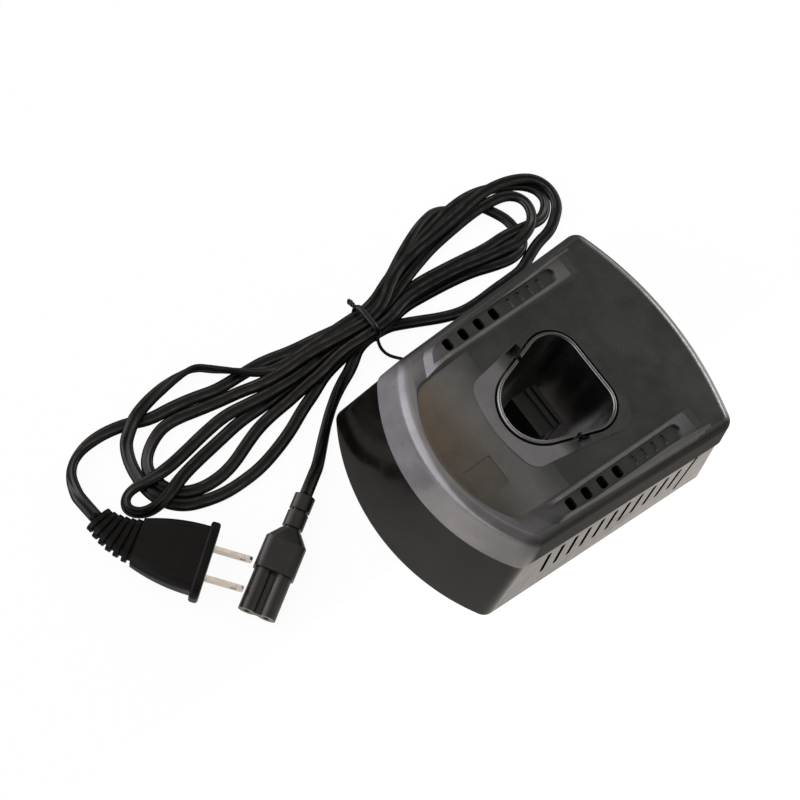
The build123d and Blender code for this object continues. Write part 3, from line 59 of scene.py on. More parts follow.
# Route of the lead's middle line: x, y, z in millimetres, then how far the flat cord is rolled on its
# side, in degrees.
LEAD_ROUTE = [
    # from the plug to the tie
    (-70, -173, 8.5, 0), (-81, -174.5, 8.5, 0), (-85, -174, 5.4, 30), (-92.5, -172, 3.4, 55),
    (-97.5, -168, 3, 60), (-100.5, -162.5, 2.6, 45), (-102, -156.5, 2, 20), (-102, -149, 1.8, 6),
    (-99.5, -140, 1.7, 0), (-97, -130.5, 1.7, 0), (-95.5, -120.5, 1.7, 0), (-94.5, -109.5, 1.7, 0),
    (-93.5, -98.5, 1.7, 0), (-93, -86.5, 1.7, 0), (-92, -74, 1.8, 0), (-91, -60.5, 2, 0), (-90, -47, 2.3, 0),
    (-88, -32.5, 2.9, 0), (-88.5, -16.5, 2.9, 0),
    # short loop at the rear, back to the tie
    (-97, 2.5, 3.2, 0), (-103, 13, 3.2, 0), (-109, 24, 3, 10), (-113, 34, 2.8, 25), (-113, 45, 2.6, 35),
    (-109.5, 55, 2, 30), (-104.5, 64, 1.7, 15), (-97, 70, 1.7, 0), (-89.5, 73.5, 1.7, 0),
    (-82, 73.5, 1.7, 10), (-76, 69.5, 1.8, 20), (-73.5, 61.5, 2.4, 20), (-75.5, 51.5, 2.8, 10),
    (-79, 38.5, 3.4, 0), (-80.5, 24, 4, 0),
    (-81, 9, 4.6, 0), (-81, -3, 5.2, 0), (-77.5, -16, 6.1, 0), (-77, -32, 6.1, 0),
    # outer loop at the front
    (-77, -45, 4.6, 0), (-74, -55, 3.4, 0), (-70, -63.5, 2.6, 0), (-65, -72.5, 2, 0), (-60, -82, 1.7, 0),
    (-56, -92.5, 1.7, 0), (-53, -103, 1.7, 0), (-52, -113, 1.7, 0), (-52, -122.5, 1.7, 0),
    (-54, -131.5, 1.7, 0), (-57, -139, 1.7, 10), (-62, -144.5, 1.8, 20), (-69, -147.5, 1.8, 25),
    (-77.5, -148.5, 1.8, 25), (-85.5, -148, 2, 20), (-92.5, -145.5, 2.6, 10), (-97.5, -142, 3.8, 0),
    (-101, -136, 4.9, 0), (-104, -127.5, 5, 0), (-106.5, -118, 4.6, 20), (-107.5, -108.5, 4.4, 60),
    (-107, -101, 4.6, 85), (-102, -95.5, 4.8, 85), (-95.5, -89.5, 5, 70), (-89, -83, 5.2, 45),
    (-85.5, -75, 5.2, 25), (-84.5, -65, 5.4, 10), (-85, -52, 5.6, 0), (-88, -32.5, 6.1, 0),
    (-88.5, -16.5, 6.1, 0),
    # long loop at the rear
    (-95, 0, 5.2, 0), (-99.5, 11, 5, 0), (-104, 23.5, 4.9, 0), (-107, 37, 4.8, 0), (-109, 50, 4.8, 0),
    (-110.5, 64.5, 3.6, 0), (-109.5, 78.5, 2, 0), (-106, 89.5, 1.7, 0), (-100.5, 97.5, 1.7, 10),
    (-93, 99, 1.7, 20), (-87, 96, 1.8, 20), (-83.5, 88.5, 2.6, 10), (-83, 78, 3.6, 0), (-84, 66, 4.4, 0),
    (-85, 52.5, 4.7, 0), (-86.5, 39, 4.7, 0), (-87.5, 25, 4.7, 0), (-88, 11.5, 4.4, 0), (-87, 0, 4, 0),
    (-83, -16, 2.9, 0), (-82.5, -32, 2.9, 0),
    # narrow loop at the front
    (-81, -45.5, 2.4, 0), (-79, -59.5, 2.2, 0), (-78, -73, 2, 0), (-77.5, -86, 1.8, 0), (-76, -98.5, 1.7, 0),
    (-73, -111, 1.8, 0), (-70.5, -123, 2.4, 0), (-67.5, -134, 3.8, 0), (-64.5, -143, 4.6, 25),
    (-62.5, -150.5, 4.8, 45), (-63.5, -157, 5.6, 60), (-68, -160.5, 7, 60), (-72.5, -158.5, 8.2, 60),
    (-74, -152.5, 8.8, 45), (-73.5, -145.5, 8.4, 25), (-74, -137, 7.4, 0), (-76, -127, 6.4, 0),
    (-79, -115, 5.2, 0), (-81, -102, 4.9, 0), (-81.5, -89, 5, 0), (-81, -76, 5.4, 0), (-81, -61.5, 5.8, 0),
    (-81.5, -48, 6.2, 0), (-82.5, -32, 6.1, 0), (-83, -16, 6.1, 0),
    # middle loop at the rear
    (-91.5, 0, 5.6, 0), (-95.5, 13.5, 5.2, 0), (-99.5, 28, 5, 0), (-103.5, 43, 4.8, 0), (-106, 57.5, 4.6, 0),
    (-106, 70, 4.4, 0), (-102.5, 80, 4.2, 0), (-97, 85, 4.4, 10), (-89.5, 84, 4.6, 15),
    (-83.5, 77.5, 6.4, 15), (-80, 68.5, 7.6, 10), (-79.5, 59, 7.6, 0), (-80.5, 48, 7.5, 0),
    (-82.5, 35.5, 7.4, 0), (-83.5, 22, 7.3, 0), (-83.5, 8.5, 7.4, 0), (-82.5, -3.5, 8, 0),
    (-77.5, -16, 9.3, 0), (-77, -32, 9.3, 0),
    # inner loop at the front
    (-77.5, -43.5, 7.6, 0), (-75, -55, 6.2, 0), (-73, -65, 4.2, 0), (-72.5, -75, 2.6, 0),
    (-71.5, -84.5, 1.8, 0), (-68.5, -94, 1.7, 0), (-65, -102.5, 1.7, 0), (-61, -111.5, 1.7, 0),
    (-59, -120, 1.7, 0), (-59, -129, 1.7, 0), (-61.5, -136, 1.7, 10), (-66, -142, 1.8, 20),
    (-72, -145, 2, 30), (-78.5, -144.5, 2.2, 35), (-84, -140.5, 2.2, 35), (-88.5, -134.5, 2.2, 25),
    (-92, -127.5, 2.2, 10), (-93, -119.5, 1.7, 0), (-91, -111, 1.7, 0), (-88.5, -101, 1.7, 0),
    (-86.5, -90.5, 1.8, 0), (-84.5, -80, 3.4, 0), (-83, -69, 5.8, 0), (-83.5, -56, 7.6, 0),
    (-82.5, -32, 9.3, 0), (-83, -16, 9.3, 0),
    # outer loop at the rear, then along the casing
    (-96.5, 1.5, 8.4, 0), (-101, 18, 8, 0), (-104.5, 33.5, 7.6, 0), (-107.5, 48.5, 7.2, 0),
    (-109.5, 62, 6.6, 0), (-110, 76.5, 5.2, 0), (-107.5, 88.5, 4.6, 0), (-102, 96.5, 4.6, 0),
    (-94.5, 100, 4.6, 0), (-87, 98.5, 4.7, 0), (-80.5, 93, 4.2, 0), (-76, 86.5, 2.4, 0), (-74.5, 77, 1.8, 0),
    (-72, 68, 1.7, 0), (-67, 60.5, 1.7, 0), (-66, 51, 1.7, 0), (-65.5, 41.5, 1.7, 0), (-64.5, 31.5, 1.7, 0),
    (-64.5, 21, 1.7, 0), (-67.5, 10.5, 1.7, 0), (-71.5, 1, 1.8, 0), (-75, -8, 2.4, 0), (-77.5, -16, 2.9, 0),
    (-77, -32, 2.9, 0),
    # from the tie to the connector
    (-70, -41, 1.8, 0), (-65, -51.5, 1.8, 30), (-59.5, -60, 2, 45), (-53, -68, 2, 45), (-46, -75.5, 2, 30),
    (-39.5, -82.5, 2.8, 15), (-37, -86.5, 5.5, 0), (-31, -95.5, 5.5, 0),
]

TIE_AT = (-82.8, -24.2)
TIE_TURN = 2.0              # degrees
TIE_LIFT = 1.3              # of the tied strands above the table, with the strip under them
BUNDLE = (16.9, 10.9, 4.6)  # width, height and corner of the tied strands
TIE_STRIP = (2.6, 0.9)      # width and thickness of the tie
TIE_SQUARE = 0.7            # power that squares off the strip's edges; 1 gives an ellipse
TIE_RIDGE = (0.35, 0.5)     # height and half width of the ridge over the tie's wire
TIE_TAIL = [(-74.6, -24.0, 7.0), (-71.9, -24.6, 3.9), (-67.4, -23.6, 1.5), (-63.4, -20.8, 0.9),
            (-60.4, -17.4, 0.9)]
KNOT_TURNS = 1.6
KNOT_LENGTH = 5.0
KNOT_GAP = 0.2              # from the strands to where the twist begins
KNOT_HEIGHT = 1.6           # of the twist's start above the strands' middle
KNOT_DROP = 1.2             # from its start to its end
KNOT_RADIUS = 0.8
KNOT_TIGHT = 0.35           # share of that radius at the twist's start
WIRE_RADIUS = 0.8
WIRE_FLAT = 0.8             # thickness of a covered wire as a share of its width
WIRE_TIP = 0.4              # square of the wire's width at its tip, as a share of its full width
WIRE_SWELL = 12             # what that square would come to at the wire's start, were it not held to 1

HELD_NEAR = 12              # points of the route this near to the tie stay where they are
SETTLE_ROUNDS = 360
SETTLE_SEARCH = 20          # rounds from one search for neighbouring strands to the next
SETTLE_REACH = 2            # how much farther apart than touching two strands still count as neighbours
SETTLE_APART = 3            # cord widths, nearer than which along the cord two points are one strand
SETTLE_CROSS = 0.25         # least difference in height between strands that cross
SETTLE_STEP = 0.6           # longest move in a round
SETTLE_SINK = 0.02          # how far a strand sinks in a round
SETTLE_EVEN = 0.06          # share of the way that a point goes to its neighbours' mean height
SETTLE_DRIFT = 2.2          # farthest that a point may move sideways in all
TABLE_GAP = 0.2             # between the lowest strand and the table


# ================================================================== mesh helpers
def new_mesh(name, points, faces, uv=None):
    """A smooth object from points in millimetres and faces, with an optional pair of numbers per point as its
    UV map."""
    mesh = bpy.data.meshes.new(name)
    mesh.from_pydata((np.asarray(points, float) * MM).tolist(), [], faces)
    if uv is not None:
        layer = mesh.uv_layers.new(name="along")
        index = np.zeros(len(mesh.loops), np.int32)
        mesh.loops.foreach_get("vertex_index", index)
        layer.data.foreach_set("uv", np.asarray(uv, np.float32)[index].ravel())
    mesh.shade_smooth()
    return in_scene(name, mesh)


def in_scene(name, data):
    """A new object in the scene, at the origin."""
    obj = bpy.data.objects.new(name, data)
    bpy.context.scene.collection.objects.link(obj)
    return obj


def joined(name, pieces):
    """Several mesh objects made one, with the first one's place in the list of objects."""
    with bpy.context.temp_override(active_object=pieces[0], selected_editable_objects=pieces):
        bpy.ops.object.join()
    pieces[0].name = name
    return pieces[0]


def grid_faces(rows, around):
    """Quads of a grid that is closed around and open along: (i, j) is joined to (i + 1, j) and (i, j + 1)."""
    i, j = np.meshgrid(np.arange(rows - 1), np.arange(around), indexing="ij")
    k = (j + 1) % around
    quads = np.stack([i * around + j, i * around + k, (i + 1) * around + k, (i + 1) * around + j], axis=-1)
    return quads.reshape(-1, 4).tolist()


def smooth_line(points, steps=8):
    """Points read from the NURBS spline of order 3 that has these control points, in millimetres."""
    curve = bpy.data.curves.new("route", "CURVE")
    curve.dimensions = "3D"
    curve.resolution_u = steps
    spline = curve.splines.new("NURBS")
    spline.points.add(len(points) - 1)
    spline.points.foreach_set("co", np.c_[np.array(points, float) * MM, np.ones(len(points))].ravel())
    spline.order_u = 3
    spline.use_endpoint_u = True
    bare = bpy.data.objects.new("route", curve)
    mesh = bpy.data.meshes.new_from_object(bare)
    line = np.zeros(len(mesh.vertices) * 3)
    mesh.vertices.foreach_get("co", line)
    bpy.data.objects.remove(bare)
    bpy.data.meshes.remove(mesh)
    bpy.data.curves.remove(curve)
    return line.reshape(-1, 3) / MM


def travelled(line):
    """Distance along a line up to each of its points: the running sum of its runs' lengths."""
    return np.concatenate([[0.0], np.cumsum(np.linalg.norm(np.diff(line, axis=0), axis=1))])


def unit(rows):
    """Each row divided by its own length."""
    return rows / np.maximum(np.linalg.norm(rows, axis=1), 1e-9)[:, None]


def full_turn(count):
    """Angles evenly spaced round a full turn."""
    return np.linspace(0, 2 * np.pi, count, endpoint=False)


def signed_power(values, power):
    """The size of each value raised to a power, with its sign kept."""
    return np.sign(values) * np.abs(values) ** power


def swept(name, line, side, top, profile, scale=1.0, uv=None):
    """A profile carried along a line: point (i, j) is line[i] plus scale[i] times
    (profile[j].x * side[i] + profile[j].y * top[i]). Each end is closed with one more point in its middle."""
    rows, around = len(line), len(profile)
    flat = profile[None] * np.reshape(scale, (-1, 1, 1))
    points = line[:, None] + flat[..., :1] * side[:, None] + flat[..., 1:] * top[:, None]
    points = np.concatenate([points.reshape(-1, 3), line[[0, -1]]])
    if uv is not None:
        uv = uv.reshape(-1, 2)
        uv = np.concatenate([uv, uv[[0, -around]]])
    faces = grid_faces(rows, around)
    for row, middle, order in ((0, rows * around, 1), (rows - 1, rows * around + 1, -1)):
        ring = [row * around + j for j in range(around)]
        faces += [[after, before, middle][::order] for before, after in zip(ring, ring[1:] + ring[:1])]
    return new_mesh(name, points, faces, uv)


# ================================================================== mains cord
def spans(count, per_span=4):
    """Matrix that reads a clamped quadratic spline: (1 - t)^2 / 2, 1 / 2 + t - t^2 and t^2 / 2 of three
    points in a row, for each of the spans but the two end ones, which are held anyway."""
    t = np.arange(per_span) / per_span
    weights = np.stack([(1 - t) ** 2 / 2, 0.5 + t - t ** 2, t ** 2 / 2], axis=1)
    read = np.zeros(((count - 2) * per_span, count))
    for k in range(count - 2):
        read[k * per_span:(k + 1) * per_span, k:k + 3] = weights
    return read


def settled(route, held):
    """The lead's points once its strands lie on each other instead of through each other. Two strands touch
    where (dx^2 + dy^2) / width^2 + dz^2 / height^2 is under 1, with width and height those of the rolled
    cord. Each round moves touching strands apart along the slope of that sum, lets every strand sink a
    little, and keeps it on the table."""
    points, roll = route[:, :3].copy(), np.radians(route[:, 3])
    read = spans(len(points))
    give = read.T / read.sum(axis=0)[:, None]
    roll = read @ roll
    wide = np.hypot(CORD_WIDE * np.cos(roll), CORD_THICK * np.sin(roll)) / 2
    high = np.hypot(CORD_WIDE * np.sin(roll), CORD_THICK * np.cos(roll)) / 2
    line = read @ points
    along = travelled(line)
    upper = line[:, 2].copy()
    start = points.copy()
    for turn in range(SETTLE_ROUNDS):
        line = read @ points
        if turn % SETTLE_SEARCH == 0:
            apart = line[:, None, :2] - line[None, :, :2]
            near = (apart ** 2).sum(axis=2) < (CORD_WIDE + SETTLE_REACH) ** 2
            other = np.abs(along[:, None] - along[None]) > SETTLE_APART * CORD_WIDE
            a, b = np.nonzero(np.triu(near & other))
        gap = line[a] - line[b]
        level = np.abs(gap[:, 2]) < SETTLE_CROSS
        gap[level, 2] = np.where(upper[a] >= upper[b], SETTLE_CROSS, -SETTLE_CROSS)[level]
        size = np.stack([wide[a] + wide[b], wide[a] + wide[b], high[a] + high[b]], axis=1)
        deep = np.sqrt(((gap / size) ** 2).sum(axis=1))
        slope = gap / size ** 2
        push = slope / (slope ** 2).sum(axis=1)[:, None] * (np.maximum(1 - deep, 0) * deep)[:, None] / 2
        move, touches = np.zeros_like(line), np.zeros(len(line))
        np.add.at(move, a, push)
        np.add.at(move, b, -push)
        np.add.at(touches, a, deep < 1)
        np.add.at(touches, b, deep < 1)
        shared = np.sqrt(np.maximum(touches, 1))[:, None]
        move = np.clip(move / shared, -SETTLE_STEP, SETTLE_STEP)
        move[:, 2] = np.maximum(move[:, 2] - SETTLE_SINK, high + TABLE_GAP - line[:, 2])
        step = give @ move
        step[1:-1, 2] += SETTLE_EVEN * ((points[:-2, 2] + points[2:, 2]) / 2 - points[1:-1, 2])
        step[held] = 0
        points += step
        drift = points[:, :2] - start[:, :2]
        far = np.maximum(np.linalg.norm(drift, axis=1) / SETTLE_DRIFT, 1)
        points[:, :2] = start[:, :2] + drift / far[:, None]
    return points


def cord_section(count=28):
    """Two round cores joined at a waist: the half thickness at an angle is that of a flat slot, less a
    bell-shaped groove in the middle of each broad face."""
    turn = full_turn(count)
    half_w, half_t = CORD_WIDE / 2, CORD_THICK / 2
    x = half_w * signed_power(np.cos(turn), SECTION_SPREAD)
    inner = np.clip(np.abs(x) - (half_w - half_t), 0, half_t)
    y = np.sign(np.sin(turn)) * np.sqrt(np.maximum(half_t ** 2 - inner ** 2, 0))
    groove = CORD_WAIST * np.exp(-(x / WAIST_WIDE) ** 2)
    return np.stack([x, y - np.sign(y) * groove], axis=1)


def lead_frames(line, roll):
    """Side and top directions along a line: the side is level and square to the line, then both are turned
    about the line by the roll."""
    ahead = unit(np.gradient(line, axis=0))
    level = unit(np.cross(ahead, UP))
    over = np.cross(level, ahead)
    c, s = np.cos(roll)[:, None], np.sin(roll)[:, None]
    side = c * level + s * over
    return side, np.cross(side, ahead)


def mains_cord():
    """The whole lead between the plug's relief and the connector's relief, as one flat two-core tube. Its
    map runs along the cord in centimetres, and across it from 0 at one edge to 1 at the other, over either
    face."""
    route = np.array(LEAD_ROUTE)
    held = np.linalg.norm(route[:, :2] - TIE_AT, axis=1) < HELD_NEAR
    held[[0, 1, -2, -1]] = True
    line = smooth_line(settled(route, held))
    at = np.linspace(0, len(route) - 2, len(line))
    roll = np.radians(np.interp(at, np.arange(len(route)) - 0.5, route[:, 3]))
    side, top = lead_frames(line, roll)
    section = cord_section()
    along = np.broadcast_to(travelled(line)[:, None] / MAP_UNIT, (len(line), len(section)))
    across = 1 - np.abs(2 * np.linspace(0, 1, len(section), endpoint=False) - 1)
    across = np.broadcast_to(across[None], along.shape)
    cord = swept("mains_cord", line, side, top, section, uv=np.stack([along, across], axis=-1))
    return cord, line


# ================================================================== tie
def rounded_ring(width, height, corner, count=72):
    """Points round a rounded rectangle, evenly spaced by distance, and the outward direction at each."""
    turn = np.linspace(0, 2 * np.pi, 10 * count + 1)
    x = np.sign(np.cos(turn)) * (width / 2 - corner) + corner * np.cos(turn)
    y = np.sign(np.sin(turn)) * (height / 2 - corner) + corner * np.sin(turn)
    ring = np.stack([x, y, np.zeros_like(x)], axis=1)
    far = travelled(ring)
    even = np.linspace(0, far[-1], count, endpoint=False)
    ring = np.stack([np.interp(even, far, ring[:, k]) for k in range(3)], axis=1)
    ahead = unit(np.roll(ring, -1, axis=0) - np.roll(ring, 1, axis=0))
    return ring, np.cross(ahead, UP)


def place_bundle(points):
    """From the bundle's own axes (across, up, along) to the table's: turned about Z and moved to the tie."""
    turn = math.radians(TIE_TURN)
    across = np.array([math.cos(turn), math.sin(turn), 0])
    along = np.array([-math.sin(turn), math.cos(turn), 0])
    middle = np.array([*TIE_AT, BUNDLE[1] / 2 + TIE_LIFT])
    return middle + points[:, :1] * across + points[:, 1:2] * UP + points[:, 2:] * along


def tie_band():
    """The strip round the bundle: a flat lens-shaped section, with a bell-shaped ridge over its wire, carried
    round a rounded rectangle that closes on itself."""
    wide, thick = TIE_STRIP[0] / 2, TIE_STRIP[1] / 2
    ring, out = rounded_ring(BUNDLE[0] + TIE_STRIP[1], BUNDLE[1] + TIE_STRIP[1], BUNDLE[2] + thick)
    turn = full_turn(16)
    x = wide * signed_power(np.cos(turn), TIE_SQUARE)
    ridge = TIE_RIDGE[0] * np.exp(-(x / TIE_RIDGE[1]) ** 2) * (np.sin(turn) > 0)
    y = thick * signed_power(np.sin(turn), TIE_SQUARE) + ridge
    points = ring[:, None] + y[None, :, None] * out[:, None]
    points[..., 2] = x[None]
    count, around = len(ring), len(turn)
    faces = [[v % (count * around) for v in face] for face in grid_faces(count + 1, around)]
    return new_mesh("tie_band", place_bundle(points.reshape(-1, 3)), faces)


def tie_knot():
    """Two wires twisted together: they follow opposite sides of a helix that opens from the strands
    outwards."""
    t = np.linspace(0, 1, 60)
    opened = KNOT_TIGHT + (1 - KNOT_TIGHT) * t
    lines = []
    for phase in (0, math.pi):
        turn = phase + 2 * math.pi * KNOT_TURNS * t
        x = -(BUNDLE[0] / 2 + KNOT_GAP) - KNOT_LENGTH * t
        y = KNOT_HEIGHT + KNOT_RADIUS * np.cos(turn) * opened - KNOT_DROP * t
        z = KNOT_RADIUS * np.sin(turn) * opened
        lines.append(place_bundle(np.stack([x, y, z], axis=1)))
    return lines


def twist_tie():
    """Band, twisted knot and free tail, as one piece. Each wire is full until near its tip, where it rounds
    off."""
    turn = full_turn(14)
    wire = WIRE_RADIUS * np.stack([np.cos(turn), WIRE_FLAT * np.sin(turn)], axis=1)
    made = [tie_band()]
    for line in [*tie_knot(), smooth_line(TIE_TAIL, 10)]:
        side, top = lead_frames(line, np.zeros(len(line)))
        taper = np.minimum(1, np.linspace(WIRE_TIP, WIRE_SWELL, len(line)))[::-1] ** 0.5
        made.append(swept("tie_wire", line, side, top, wire, scale=taper))
    return joined("twist_ties", made)


# ================================================================== shader groups
class Sheet:
    """A node tree being drawn. Each input of a node is given as a number, which is set on its socket, or as
    another node's output, which is linked to it."""

    def __init__(self, tree):
        self.tree = tree

    def feed(self, node, inputs):
        for name, value in inputs.items():
            if isinstance(value, bpy.types.NodeSocket):
                self.tree.links.new(value, node.inputs[name])
            else:
                node.inputs[name].default_value = value

    def node(self, kind, inputs, **settings):
        node = self.tree.nodes.new(kind)
        for name, value in settings.items():
            setattr(node, name, value)
        self.feed(node, inputs)
        return node

    def add(self, kind, inputs, out=0, **settings):
        return self.node(kind, inputs, **settings).outputs[out]

    def placed(self, tree, **inputs):
        """Outputs of a group that is placed with these inputs."""
        return self.node("ShaderNodeGroup", inputs, node_tree=tree).outputs

    def parts(self, vector):
        return self.node("ShaderNodeSeparateXYZ", {0: vector}).outputs

    def noise(self, vector, scale, detail=2.0, roughness=0.5):
        return self.add("ShaderNodeTexNoise",
                        {"Vector": vector, "Scale": scale, "Detail": detail, "Roughness": roughness})

    def wave(self, vector, scale, distortion, **settings):
        inputs = {"Vector": vector, "Scale": scale, "Distortion": distortion, "Detail": 2.0}
        return self.add("ShaderNodeTexWave", inputs, **settings)

    def stretch(self, vector, factors):
        return self.add("ShaderNodeMapping", {"Vector": vector, "Scale": factors})

    def range(self, value, low, high, to_low=0.0, to_high=1.0):
        return self.add("ShaderNodeMapRange", {"Value": value, "From Min": low, "From Max": high,
                                               "To Min": to_low, "To Max": to_high})

    def math(self, operation, *values):
        return self.add("ShaderNodeMath", dict(enumerate(values)), operation=operation)

    def plus(self, a, b):
        return self.math("ADD", a, b)

    def minus(self, a, b):
        return self.math("SUBTRACT", a, b)

    def larger(self, a, b):
        return self.math("MAXIMUM", a, b)

    def times(self, first, *others):
        for other in others:
            first = self.math("MULTIPLY", first, other)
        return first

    def mix(self, factor, a, b):
        return self.add("ShaderNodeMix", {0: factor, 6: a, 7: b}, out=2, data_type="RGBA")

    def bump(self, height, depth):
        return self.add("ShaderNodeBump", {"Height": height, "Distance": depth, "Strength": 1.0})


def group(name, draw, outputs, **inputs):
    """A shader group that takes a Place and the named inputs, given with their starting values;
    draw(sheet, ins) gives a value for each of its outputs."""
    tree = bpy.data.node_groups.new(name, "ShaderNodeTree")
    tree.interface.new_socket("Place", in_out="INPUT", socket_type="NodeSocketVector")
    for label, start in inputs.items():
        socket = tree.interface.new_socket(label, in_out="INPUT", socket_type="NodeSocketFloat")
        socket.default_value = start
    for label in outputs:
        tree.interface.new_socket(label, in_out="OUTPUT", socket_type="NodeSocketFloat")
    ins = tree.nodes.new("NodeGroupInput")
    outs = tree.nodes.new("NodeGroupOutput")
    sheet = Sheet(tree)
    sheet.feed(outs, draw(sheet, {socket.name: socket for socket in ins.outputs if socket.name}))
    return tree


def draw_grain(sheet, ins):
    """Etched mould grain: fine noise over a coarser one, so that some patches are flatter than others."""
    fine = sheet.noise(ins["Place"], ins["Scale"], 3.0, 0.6)
    coarse = sheet.noise(ins["Place"], sheet.times(ins["Scale"], 0.12), 2.0, 0.5)
    height = sheet.plus(fine, sheet.times(coarse, 0.6))
    return {"Height": height, "Patch": sheet.range(coarse, 0.35, 0.65)}


def draw_handling(sheet, ins):
    """Marks of use: soft cloudy smears, and thin scratches that run two ways."""
    smear = sheet.range(sheet.noise(ins["Place"], 42.0, 4.0, 0.62), 0.42, 0.72)
    first = sheet.noise(sheet.stretch(ins["Place"], (30.0, 900.0, 400.0)), 1.0, 2.0, 0.6)
    second = sheet.noise(sheet.stretch(ins["Place"], (1100.0, 45.0, 500.0)), 1.0, 2.0, 0.6)
    scratch = sheet.plus(sheet.range(first, 0.69, 0.74), sheet.range(second, 0.70, 0.75))
    return {"Smear": smear, "Scratch": sheet.times(scratch, ins["Amount"])}


def draw_cloud(sheet, ins):
    """Soft patches between a least value and 1, for gloss and painted highlight that aren't even."""
    return {"Cloud": sheet.range(sheet.noise(ins["Place"], 95.0, 3.0, 0.55), 0.3, 0.7, ins["Least"], 1.0)}


GRAIN = group("mould grain", draw_grain, ["Height", "Patch"], Scale=1600.0)
HANDLING = group("handling marks", draw_handling, ["Smear", "Scratch"], Amount=1.0)
CLOUD = group("uneven cloud", draw_cloud, ["Cloud"], Least=0.75)


# ================================================================== materials
SCRATCH_TONE = 1.6          # of a scratch, as a multiple of the plastic's palest tone
SCRATCH_DEPTH = 0.4         # as a share of the grain's
# The tone below is a lavender-grey painted highlight, standing in for light reflected on the cover and on the
# rim's front.
PAINTED_HIGHLIGHT_TONE = (0.145, 0.140, 0.148, 1)
PAINTED_HIGHLIGHT_SHARE = 0.5            # how far a painted highlight of 1 takes the colour to that tone
MATT = 0.8                  # roughness where there is no gloss
GLOSS_SMOOTH = 0.5          # gloss from which the plastic has its own roughness
# Where the cover is glossy and where its painted highlight lies, in metres. A pair of places gives where the
# effect begins and where it is full; two more numbers, where there are any, give its strength at each.
SIDE_TAPER = 0.056          # the casing widens by this much each side per unit of length
SIDE_LEAN = 0.159           # and narrows by this much per unit of height
GLOSS_EDGE = (0.0585, 0.0535)   # from the middle, as measured at the table
GLOSS_FRONT = (-0.046, -0.054)
# The land, lip, corners and rails below mark where the cover is painted paler as a highlight; on the lip it
# is a painted reflection.
LAND_SLOPE = 0.045          # rise of the ramp per unit of length
LAND_HEIGHT = (0.06656, 0.06672)
LAND_REAR = (-0.010, -0.016)
LAND_SIDES = (0.030, 0.028)
LIP_BOW = 8.2               # of the parabola behind the lip, per metre
LIP_EDGE = (-0.0570, -0.0590)
LIP_ACROSS = (0.055, -0.030, 0.25, 1.0)
# strength of the lip's painted reflection
LIP_HIGHLIGHT = 1.8
LIP_GLOSS = 0.65            # what the full painted highlight leaves of the gloss
CORNER_SIDES = (0.030, 0.038)
CORNER_REAR = (-0.024, -0.048)
CORNER_ACROSS = (0.055, -0.030, 0.35, 1.0)
CORNER_GLOSS = (0.0, 0.6, 1.0, 0.45)    # two strengths of the corner's painted highlight, and what each leaves of the gloss
# the rails' tops: painted highlight along their crests
RAIL_HEIGHT = (0.0675, 0.0686)
RAIL_SIDES = (0.040, 0.046, 1.1, 0.45)
RAIL_REAR = (0.030, 0.040, 1.0, 0.6)
# Where the rim's front is painted paler as a highlight:
RIM_HEIGHT = (0.0655, 0.0662)
RIM_FRONT = (-0.010, -0.020)
# Each cord core's crown is painted paler as a highlight, in patches:
CROWN_AT = 0.14             # from the middle of the cord's face to a core's crown, in widths of its map
CROWN_EDGE = (0.075, 0.01)  # from the crown, in the same widths
CROWN_HIGHLIGHT_TONE = 0.040
CHOKE_TURNS = 44
FUSE_CAP = (0.0050, 0.0051)     # from the fuse's end, where its cap stops

FINISHES = {}               # each material under its own name


def begin(name, uv_map=None, **fixed):
    """A new finish: its sheet, its shader and the place or map that its patterns are read at."""
    made = bpy.data.materials.new(name)
    FINISHES[name] = made
    made.use_nodes = True
    shader = made.node_tree.nodes["Principled BSDF"]
    sheet = Sheet(made.node_tree)
    fill(sheet, shader, **fixed)
    if uv_map:
        place = sheet.add("ShaderNodeUVMap", {}, uv_map=uv_map)
    else:
        place = sheet.add("ShaderNodeTexCoord", {}, out="Object")
    return sheet, shader, place


def fill(sheet, shader, **inputs):
    """Sets or links the shader's inputs, whose names are given with _ for each space."""
    sheet.feed(shader, {label.replace("_", " "): value for label, value in inputs.items()})


def tone(value, warm=0.0):
    """Linear colour of a near-grey; warm above nought leans it to brown, under nought to lavender."""
    return (value * (1 + warm), value, value * (1 - warm), 1.0)


def moulded(name, dark, light, rough, grain=1500.0, depth=0.00003, marks=0.5, warm=0.0, sheen=0.5,
            gloss_and_highlight=None):
    """Moulded plastic: etched grain, cloudy tone, smears and light scratches that show as roughness and
    colour. An optional function of sheet and place gives how glossy it is and how far a painted highlight
    pales it from place to place."""
    sheet, shader, place = begin(name, Coat_Roughness=0.18, Coat_IOR=1.9, Specular_IOR_Level=sheen)
    height, patch = sheet.placed(GRAIN, Place=place, Scale=grain)
    smear, scratch = sheet.placed(HANDLING, Place=place, Amount=marks)
    colour = sheet.mix(smear, tone(dark, warm), tone((dark + light) / 2, warm))
    roughness = sheet.plus(sheet.range(smear, 0, 1, rough - 0.05, rough + 0.06),
                           sheet.range(patch, 0, 1, -0.03, 0.04))
    if gloss_and_highlight:
        gloss, painted_highlight = gloss_and_highlight(sheet, place)
        # Painted highlight: the colour is paled where light would be reflected.
        colour = sheet.mix(sheet.times(painted_highlight, PAINTED_HIGHLIGHT_SHARE), colour, PAINTED_HIGHLIGHT_TONE)
        roughness = sheet.larger(roughness, sheet.range(gloss, 0.0, GLOSS_SMOOTH, MATT, 0.0))
        fill(sheet, shader, Coat_Weight=gloss)
    colour = sheet.mix(scratch, colour, tone(light * SCRATCH_TONE, warm))
    height = sheet.minus(height, sheet.times(scratch, SCRATCH_DEPTH))
    fill(sheet, shader, Base_Color=colour, Roughness=roughness, Normal=sheet.bump(height, depth))


